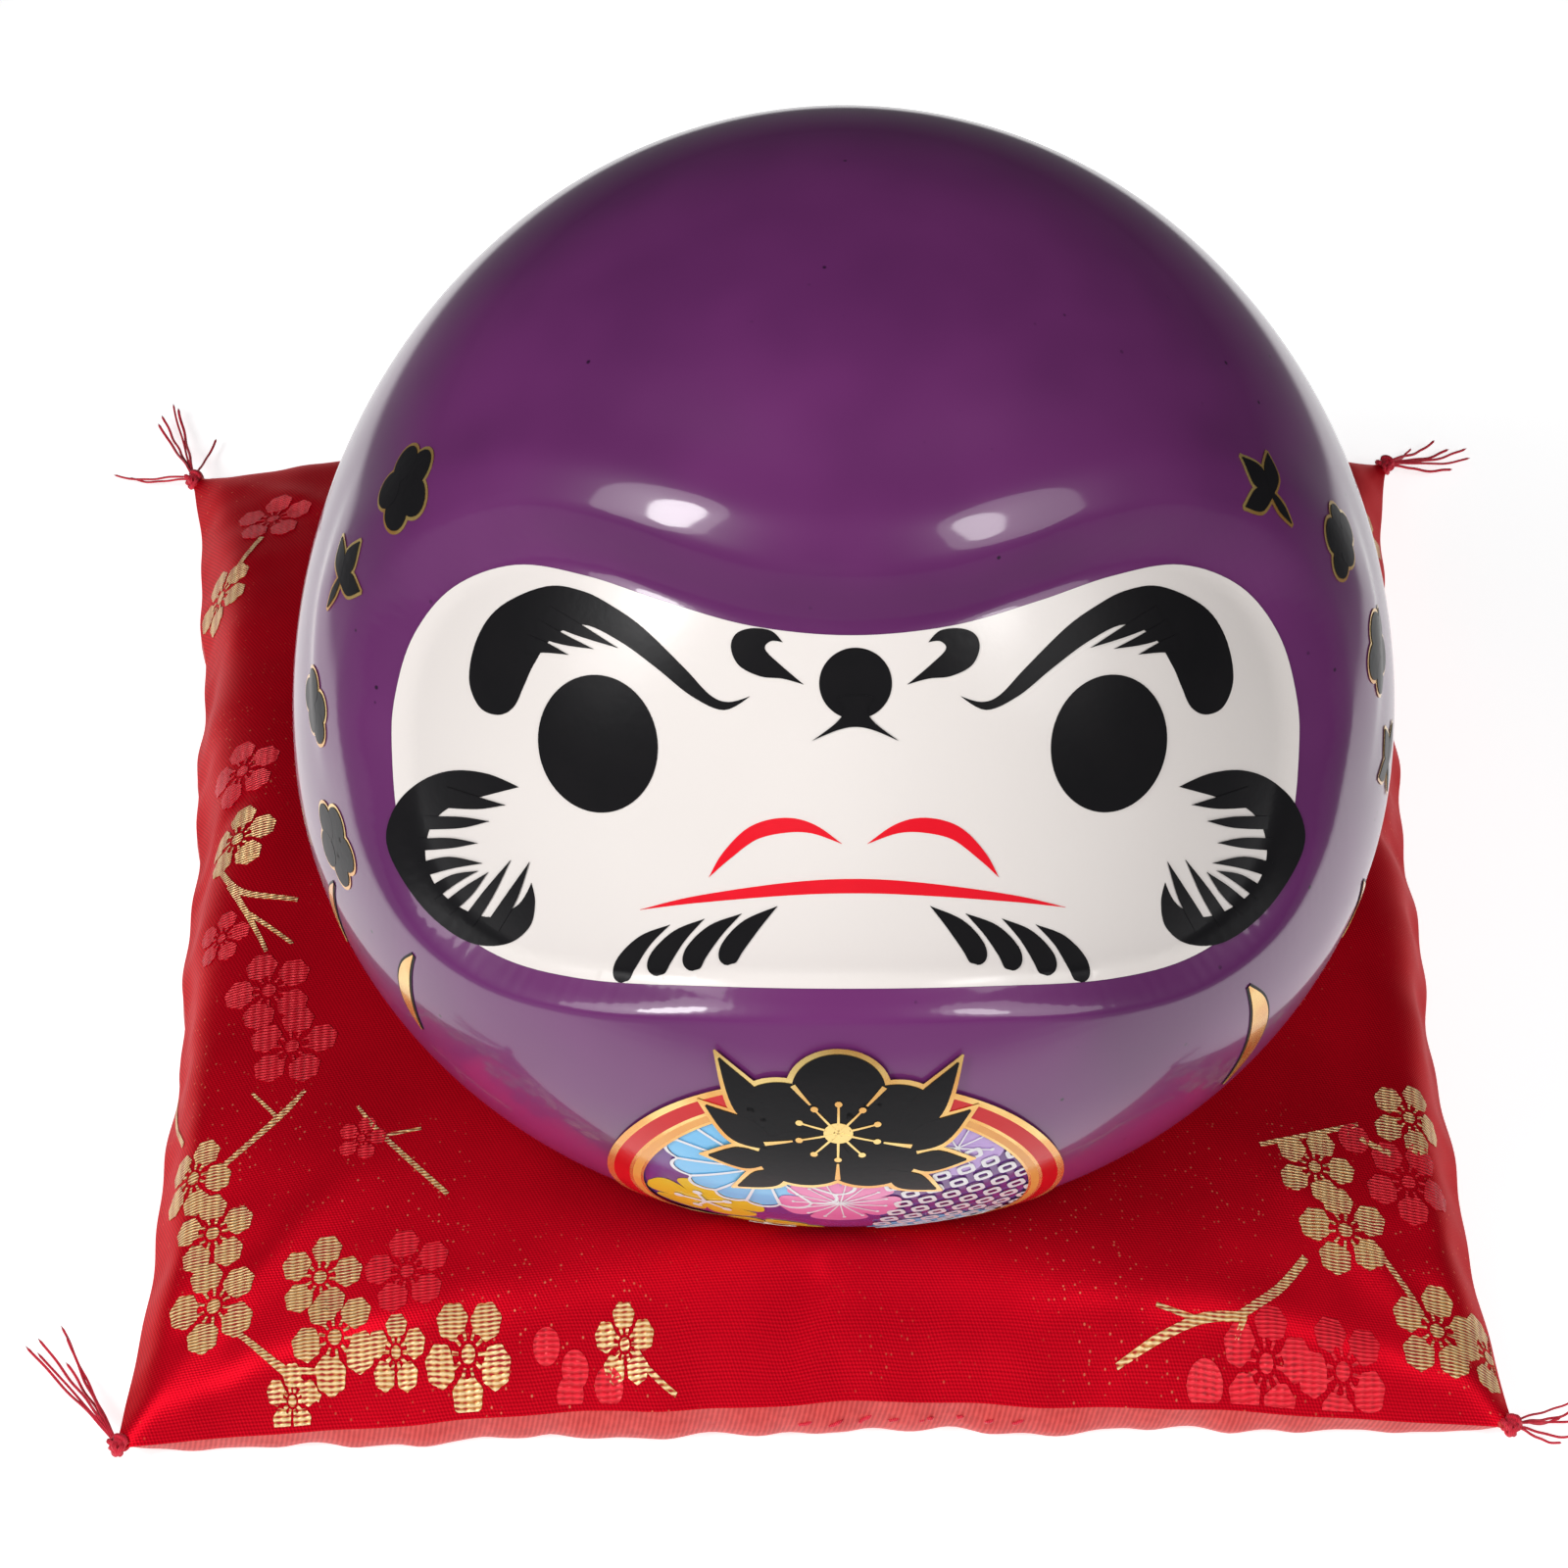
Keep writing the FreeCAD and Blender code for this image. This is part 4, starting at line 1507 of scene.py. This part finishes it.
    def belly_out(self, x: np.ndarray, y: np.ndarray, depth: np.ndarray, near_corner: np.ndarray) -> tuple:
        """Push the lower panel out under the seam, in soft uneven folds.

        Args:
            x: Each point's X.
            y: Each point's Y.
            depth: How deep each point was under the seam, from 0 to 1.
            near_corner: How near each point is to a corner, from 0 to 1.

        Returns:
            The new X and Y.
        """
        under = smoothstep(0.0, 0.10, depth) * (1.0 - smoothstep(0.18, 0.75, depth))
        along = np.where(np.abs(x) > np.abs(y), y, x) / MM
        folds = 0.75 + 0.25 * np.sin(along * 0.31 + 1.3) + 0.30 * np.sin(along * 0.83 + 0.4)
        out = self.belly * under * folds * (1.0 - 0.8 * near_corner)
        sideways = np.clip((np.abs(x) - np.abs(y)) / (6.0 * MM), -1.0, 1.0)
        share = 0.5 + 0.5 * sideways
        return x + np.sign(x) * out * share, y + np.sign(y) * out * (1.0 - share)

    def blossom(self, motif: Point) -> list[bpy.types.Object]:
        """Draw a woven blossom: five petals with a gap between them and a small middle.

        Args:
            motif: Its middle (u, v), radius and turn.

        Returns:
            The flat shapes.
        """
        u, v, radius, turn = motif
        if radius < 2.2:
            return [polar_patch((u, v), lambda angle: radius, rings=3, steps=24)]
        shapes = [polar_patch((u, v), lambda angle: radius * 0.15, rings=2, steps=14)]
        for index in range(5):
            angle = math.radians(turn + 72.0 * index)
            middle = (u + radius * 0.61 * math.cos(angle), v + radius * 0.61 * math.sin(angle))

            def edge(spread: float, angle: float = angle, radius: float = radius) -> float:
                """Return a petal's reach, flattened towards the blossom's middle."""
                inward = abs(math.cos((spread - angle) / 2))
                return radius * 0.355 * (0.62 + 0.38 * inward**0.5) * (1.0 + 0.06 * math.sin(7 * spread))

            shapes.append(polar_patch(middle, edge, rings=3, steps=28))
        for index in range(10):
            angle = math.radians(turn + 36.0 * index + 18.0)
            near, far = radius * 0.22, radius * (0.36 if index % 2 else 0.5)
            shapes.append(stroke([(u + near * math.cos(angle), v + near * math.sin(angle), 0.22),
                                  (u + far * math.cos(angle), v + far * math.sin(angle), 0.30)], 1, 2))
        return shapes

    def cloth_grid(self, panel: bpy.types.Object) -> np.ndarray:
        """Return the panel's points by row and column of the flat cloth.

        Args:
            panel: The panel, before its faces are divided.

        Returns:
            Array of shape (cells + 1, cells + 1, 3).
        """
        mesh = panel.data
        corners = np.empty(len(mesh.loops), int)
        mesh.loops.foreach_get("vertex_index", corners)
        flat = np.empty(len(mesh.loops) * 2)
        mesh.uv_layers["panel"].uv.foreach_get("vector", flat)
        column, row = np.rint(flat.reshape(-1, 2) * self.cells).astype(int).T
        grid = np.zeros((self.cells + 1, self.cells + 1, 3))
        grid[row, column] = coordinates(panel)[corners]
        return grid

    def on_cloth(self, grid: np.ndarray, flat: np.ndarray) -> np.ndarray:
        """Carry points of the flat cloth onto the cushion.

        Args:
            grid: The cloth's points by row and column.
            flat: Points on the flat cloth, in metres from its middle.

        Returns:
            Where they lie.
        """
        limit = self.cells - 1e-6
        place = np.clip((flat / self.flat_side + 0.5) * self.cells, 0.0, limit)
        cell = np.floor(place).astype(int)
        part = place - cell
        column, row = cell.T
        across, up = part[:, :1], part[:, 1:]
        low = grid[row, column] * (1 - across) + grid[row, column + 1] * across
        high = grid[row + 1, column] * (1 - across) + grid[row + 1, column + 1] * across
        return low * (1 - up) + high * up

    def flat_places(self, grid: np.ndarray, seen: Iterable[Point]) -> list[Point]:
        """Return where on the flat cloth lie points that a level plane over the cushion gives.

        Args:
            grid: The cloth's points.
            seen: Points (x, y) in millimetres on that plane, looked at from the front and above.

        Returns:
            Points (u, v) in millimetres on the flat cloth.
        """
        steps = np.linspace(-0.5, 0.5, self.cells * 3 + 1) * self.flat_side * 0.9999
        flat = np.stack(np.meshgrid(steps, steps), axis=-1).reshape(-1, 2)
        lying = self.on_cloth(grid, flat)
        forward = (self.plane_height - lying[:, 2]) * self.plane_slope
        shown = np.column_stack([lying[:, 0], lying[:, 1] - forward])
        nearest = [np.argmin(((shown - np.array(point[:2]) * MM) ** 2).sum(axis=1)) for point in seen]
        return [tuple(flat[index] / MM) for index in nearest]

    def figures(self, panel: bpy.types.Object, grid: np.ndarray, palette: Palette) -> list[bpy.types.Object]:
        """Weave the blossoms and twigs into the brocade.

        Args:
            panel: The brocade panel.
            grid: The cloth's points by row and column.
            palette: The finishes.

        Returns:
            The gilt figures and the rose figures.
        """
        gilt, rose = [], []
        for motifs, shapes in ((GOLD_BLOSSOMS, gilt), (RED_BLOSSOMS, rose)):
            for motif, middle in zip(motifs, self.flat_places(grid, motifs)):
                shapes += self.blossom((*middle, *motif[2:]))
        for twig in TWIGS:
            places = self.flat_places(grid, twig)
            gilt.append(stroke([(*place, point[2]) for place, point in zip(places, twig)], 2, 6))
        made = []
        woven = (("gilt_figures", gilt, palette.gilt), ("rose_figures", rose, palette.rose))
        for name, shapes, finish in woven:
            film = joined(name, shapes)
            flat = coordinates(film)[:, :2]
            edge = self.flat_side / 2 - 0.5 * MM
            place_vertices(film, self.on_cloth(grid, np.clip(flat, -edge, edge)))
            wrap = film.modifiers.new("on cloth", "SHRINKWRAP")
            wrap.target = panel
            wrap.wrap_method = "NEAREST_SURFACEPOINT"
            wrap.wrap_mode = "ABOVE_SURFACE"
            wrap.offset = self.float_lift
            apply_modifiers(film)
            edit(film)
            bpy.ops.mesh.dissolve_degenerate(threshold=1e-6)
            leave_edit()
            if sum(polygon.normal.z * polygon.area for polygon in film.data.polygons) < 0:
                edit(film)
                bpy.ops.mesh.flip_normals()
                leave_edit()
            thick = film.modifiers.new("floats", "SOLIDIFY")
            thick.thickness = 0.05 * MM
            thick.offset = 1.0
            apply_modifiers(film)
            smooth(film, 40.0)
            film.data.materials.clear()
            film.data.materials.append(finish.build())
            made.append(film)
        return made

    def closing_stitches(self, underside: bpy.types.Object, yarn: bpy.types.Material) -> None:
        """Close the filling gap with a few slanting stitches under the front seam.

        Args:
            underside: The twill panel.
            yarn: The thread's finish.
        """
        points = coordinates(underside)
        low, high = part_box("closing_stitches")
        made = []
        for index in range(self.stitch_count):
            x = low[0] + (high[0] - low[0]) * (index + 0.5) / self.stitch_count
            line = []
            for part in np.linspace(0.0, 1.0, 7):
                at = x + (part - 0.5) * self.stitch_length * 0.8
                height = self.stitch_height + (part - 0.5) * self.stitch_length * 0.5
                beside = np.abs(points[:, 0] - at) < 1.1 * MM
                near = points[beside & (np.abs(points[:, 2] - height) < 0.8 * MM)]
                front = near[:, 1].min() if len(near) else low[1]
                line.append((at, front - 0.12 * MM * math.sin(math.pi * part) + 0.12 * MM, height))
            made.append(thread(np.array(line), 0.2 * MM, 6))
        stitches = joined("closing_stitch_thread", made)
        smooth(stitches, 60.0)
        keep(stitches, "cushion", yarn)
        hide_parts("closing_stitches")

    def build(self, palette: Palette) -> None:
        """Sew, fill and lay down the cushion.

        Args:
            palette: The finishes.
        """
        satin, twill = palette.satin.build(), palette.twill.build()
        panels = [self.flat_panel("brocade_panel", True), self.flat_panel("twill_panel", False)]
        for panel, material in zip(panels, (satin, twill)):
            panel.data.materials.clear()
            panel.data.materials.append(material)
        cover = joined("cushion_cover", panels)
        edit(cover)
        bpy.ops.mesh.remove_doubles(threshold=1e-6)
        leave_edit()
        self.inflate(cover)
        self.rest(cover)

        select_only(cover)
        bpy.ops.object.duplicate()
        filling = bpy.context.object
        filling.name = filling.data.name = "filling"
        shrink = filling.modifiers.new("inside the cloth", "DISPLACE")
        shrink.mid_level = 0.0
        shrink.strength = -(self.cloth + 0.3 * MM)
        apply_modifiers(filling)
        smooth(filling, 60.0)
        keep(filling, "cushion", palette.cotton.build())
        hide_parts("wadding")

        edit(cover)
        bpy.ops.mesh.separate(type="MATERIAL")
        leave_edit()
        halves = [obj for obj in bpy.context.selected_objects if obj.type == "MESH"]
        halves.sort(key=lambda half: max(corner[2] for corner in half.bound_box), reverse=True)
        grid = self.cloth_grid(halves[0])
        for half, name, node, slot in zip(halves, ("brocade_panel", "twill_panel"),
                                          ("brocade_top_panel", "twill_bottom_panel"), ("brocade", "twill")):
            finer = half.modifiers.new("soft", "SUBSURF")
            finer.levels = 1
            finer.render_levels = 1
            finer.boundary_smooth = "PRESERVE_CORNERS"
            apply_modifiers(half)
            if node == "brocade_top_panel":
                figures = self.figures(half, grid, palette)
            thick = half.modifiers.new("cloth", "SOLIDIFY")
            thick.thickness = self.cloth
            thick.offset = -1.0
            apply_modifiers(half)
            smooth(half, 60.0)
            if node == "brocade_top_panel":
                half = joined(name, [half, *figures])
            half.name = half.data.name = name
            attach(half, "cushion")
            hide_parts(node)
            LOG.info("%s: %d faces on cushion", half.name, len(half.data.polygons))
        self.closing_stitches(half, palette.thread.build())


def thread(points: np.ndarray, radius: float, sides: int = 6, closed: bool = False) -> bpy.types.Object:
    """Make a round thread along a line of points.

    Args:
        points: Array of shape (count, 3), in metres.
        radius: The thread's radius.
        sides: Faces round the thread.
        closed: Whether the thread is a loop.

    Returns:
        The thread, with closed ends.
    """
    count = len(points)
    ends = np.gradient(points, axis=0)
    if closed:
        ends = np.roll(points, -1, axis=0) - np.roll(points, 1, axis=0)
    along = ends / np.maximum(np.linalg.norm(ends, axis=1), 1e-12)[:, None]
    up = np.where(np.abs(along[:, 2:3]) > 0.9, [[1.0, 0.0, 0.0]], [[0.0, 0.0, 1.0]])
    side = np.cross(along, up)
    side /= np.linalg.norm(side, axis=1)[:, None]
    over = np.cross(side, along)
    rows = count + 1 if closed else count
    bpy.ops.mesh.primitive_grid_add(x_subdivisions=sides, y_subdivisions=rows - 1)
    obj = bpy.context.object
    row = np.repeat(np.arange(rows), sides + 1) % count
    spread = np.tile(np.linspace(0.0, 2 * math.pi, sides + 1), rows)
    size = np.full(len(row), radius)
    if not closed:
        size[row == 0] *= 0.02
        size[row == count - 1] *= 0.02
    aside = side[row] * (size * np.cos(spread))[:, None]
    above = over[row] * (size * np.sin(spread))[:, None]
    place_vertices(obj, points[row] + aside + above)
    edit(obj)
    bpy.ops.mesh.remove_doubles(threshold=radius * 0.05)
    bpy.ops.mesh.normals_make_consistent(inside=False)
    leave_edit()
    return obj


@dataclass
class CornerTassel:
    """A knot at one corner of the cushion, with the loose threads that hang from it."""

    corner: Corner
    directions: list[tuple[float, float]]
    seed: int
    thread_radius: float = 0.14 * MM
    wave: float = 0.06 * MM

    def knot_middle(self) -> Vector:
        """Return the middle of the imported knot."""
        low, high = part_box(f"corner_knot_{self.corner.name}")
        return Vector([(low[axis] + high[axis]) / 2 for axis in range(3)])

    def knot(self) -> bpy.types.Object:
        """Tie the knot: a hank of thread wound over and through itself.

        Returns:
            The knot.
        """
        middle = np.array(self.knot_middle())
        angle = np.linspace(0.0, 2 * math.pi, 72, endpoint=False)
        loops = []
        for turn, size in ((0.0, 0.52), (1.1, 0.50)):
            x = np.sin(angle) + 2 * np.sin(2 * angle)
            y = np.cos(angle) - 2 * np.cos(2 * angle)
            z = -np.sin(3 * angle) * 1.5
            flat = np.column_stack([x * math.cos(turn) - z * math.sin(turn), y,
                                    x * math.sin(turn) + z * math.cos(turn)])
            loops.append(thread(middle + flat * size * 0.60 * MM, 0.28 * MM, 6, True))
        bpy.ops.mesh.primitive_ico_sphere_add(subdivisions=3, radius=0.72 * MM, location=tuple(middle))
        core = bpy.context.object
        settle(core)
        return joined(f"knot_{self.corner.name}", [core, *loops])

    def threads(self) -> bpy.types.Object:
        """Let the loose threads run out from the knot, each with its own kinks.

        Returns:
            The threads.
        """
        rng = np.random.default_rng(self.seed)
        start = np.array(self.knot_middle())
        made = []
        for heading, length in self.directions:
            steps = 26
            t = np.linspace(0.0, 1.0, steps)
            turn = math.radians(heading)
            ahead = np.array([math.cos(turn), math.sin(turn), 0.0])
            aside = np.array([-math.sin(turn), math.cos(turn), 0.0])
            phase, pace = rng.uniform(0, 2 * math.pi, 2), rng.uniform(1.6, 3.4)
            kinks = self.wave * np.sin(2 * math.pi * pace * t + phase[0]) * smoothstep(0.0, 0.35, t)
            bow = rng.uniform(-0.06, 0.06) * length * t**2
            lift = self.wave * 0.7 * np.sin(2 * math.pi * pace * 0.8 * t + phase[1]) * t
            drop = (start[2] - 0.9 * MM) * smoothstep(0.0, 0.8, t)
            line = start + np.outer(t * length * MM, ahead) + np.outer(kinks + bow * MM, aside)
            line[:, 2] += rng.uniform(-0.25, 0.35) * MM - drop + np.abs(lift)
            line[:, 2] = np.maximum(line[:, 2], self.thread_radius + 0.05 * MM)
            line[:2] += (start - line[0]) * 0.6
            made.append(thread(line, self.thread_radius * rng.uniform(0.85, 1.15)))
        return joined(f"tassel_threads_{self.corner.name}", made)

    def build(self, material: bpy.types.Material) -> None:
        """Tie the knot and its tassel.

        Args:
            material: The thread's finish.
        """
        knot = self.knot()
        smooth(knot, 60.0)
        keep(knot, "cushion", material)
        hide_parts(f"corner_knot_{self.corner.name}")
        tassel = self.threads()
        smooth(tassel, 60.0)
        keep(tassel, f"tassel_{self.corner.name}", material)
        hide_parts(f"tassel_{self.corner.name}")


TASSELS: list[CornerTassel] = [
    CornerTassel(Corner.front_left,
                 [(112, 17.5), (115, 16), (118, 17), (121, 15.5), (124, 17), (114, 13)], 3),
    CornerTassel(Corner.front_right, [(4, 6.5), (14, 8.8), (24, 8.0), (34, 9.0), (20, 5.5), (-6, 5.0)], 5),
    CornerTassel(Corner.back_left,
                 [(99, 14), (103, 15), (107, 13.6), (111, 12), (163, 9.6), (158, 8.0), (80, 9)], 9),
    CornerTassel(Corner.back_right, [(20, 10.5), (25, 11), (31, 9), (40, 8.5), (52, 6), (14, 8)], 12),
]


def main() -> None:
    """Build every sub-assembly in order and report its pieces."""
    logging.basicConfig(level=logging.INFO, format="%(name)s %(message)s")
    palette = Palette()
    Studio().build()
    doll = CeramicDoll()
    body = doll.build(palette)
    decoration = Decoration(body)
    FaceArt(doll, decoration).build(palette)
    BellyArt(doll, decoration).build(palette)
    Zabuton(doll).build(palette)
    yarn = palette.thread.build()
    for tassel in TASSELS:
        tassel.build(yarn)


@dataclass
class Studio:
    """Camera, pale floor and soft lights."""

    lens: float = 129.15
    distance: float = 0.5932
    elevation: float = 46.78
    azimuth: float = -1.01
    aim: Point = (-0.00146, 0.02144, 0.0)
    floor_side: float = 3.0
    floor_drop: float = 0.0002
    white: tuple[float, ...] = (0.70, 0.70, 0.70, 1.0)
    grey: tuple[float, ...] = (0.22, 0.22, 0.23, 1.0)
    white_middle: Point = (0.0, 0.026, 0.0)
    white_end: float = 0.150
    grey_start: float = 0.185
    floor_glow: float = 0.72
    air_glow: float = 0.035
    light_aim: float = 0.04

    def build(self) -> None:
        """Set the studio up."""
        self.place_camera()
        self.lay_floor()
        world = bpy.data.worlds.new("studio_air")
        world.use_nodes = True
        world.node_tree.nodes["Background"].inputs[0].default_value = (0.9, 0.92, 1.0, 1.0)
        world.node_tree.nodes["Background"].inputs[1].default_value = self.air_glow
        bpy.context.scene.world = world
        bpy.context.scene.view_settings.view_transform = "Standard"
        self.softbox("left_softbox", -55.7, 39.0, 0.75, (0.15, 0.30), 2.2)
        self.softbox("left_glow", -60.0, 37.0, 0.76, (0.34, 0.66), 1.9)
        self.softbox("right_softbox", 43.0, 42.5, 0.75, (0.15, 0.26), 0.9)
        self.softbox("right_glow", 51.0, 38.0, 0.76, (0.44, 0.60), 1.7)
        self.softbox("front_fill", -6.0, 12.0, 0.9, (0.5, 0.5), 1.75).visible_glossy = False

    def place_camera(self) -> None:
        """Set the camera up in front of the object, looking down at it."""
        back = outward(self.azimuth, self.elevation)
        data = bpy.data.cameras.new("camera")
        data.lens = self.lens
        data.sensor_width = 36.0
        data.clip_start = 0.01
        camera = bpy.data.objects.new("camera", data)
        camera.location = Vector(self.aim) + back * self.distance
        camera.rotation_euler = (-back).to_track_quat("-Z", "Y").to_euler()
        bpy.context.collection.objects.link(camera)
        bpy.context.scene.camera = camera

    def lay_floor(self) -> None:
        """Lay the floor: white and glowing round the object, grey beyond what the camera sees."""
        bpy.ops.mesh.primitive_plane_add(size=self.floor_side, location=(0.0, 0.0, -self.floor_drop))
        floor = bpy.context.object
        floor.name = "floor"
        pale = Shading("pale_floor")
        place = pale.node("TexCoord").outputs["Object"]
        place_and_middle = {0: place, 1: self.white_middle}
        reach = pale.node("VectorMath", place_and_middle, operation="DISTANCE").outputs["Value"]
        far = pale.band(reach, self.white_end, self.grey_start)
        pale.set(Base_Color=pale.mix(far, self.white, self.grey), Roughness=0.8)
        pale.set(Emission_Color=(1.0, 1.0, 1.0, 1.0))
        near = pale.maths("SUBTRACT", 1.0, far)
        pale.set(Emission_Strength=pale.maths("MULTIPLY", near, self.floor_glow))
        floor.data.materials.append(pale.material)

    def softbox(self, name: str, azimuth: float, elevation: float, distance: float, size: Point,
                power: float) -> bpy.types.Object:
        """Hang one light that looks at the object.

        Args:
            name: Name of the light.
            azimuth: Degrees to the viewer's right.
            elevation: Degrees above the table.
            distance: How far it hangs from the object.
            size: Its width and height.
            power: Its power in watts.

        Returns:
            The light.
        """
        back = outward(azimuth, elevation)
        data = bpy.data.lights.new(name, "AREA")
        data.shape = "ELLIPSE"
        data.size, data.size_y = size
        data.energy = power
        light = bpy.data.objects.new(name, data)
        light.location = back * distance + Vector((0.0, 0.0, self.light_aim))
        light.rotation_euler = (-back).to_track_quat("-Z", "Y").to_euler()
        bpy.context.collection.objects.link(light)
        return light


if __name__ == "__main__":
    main()
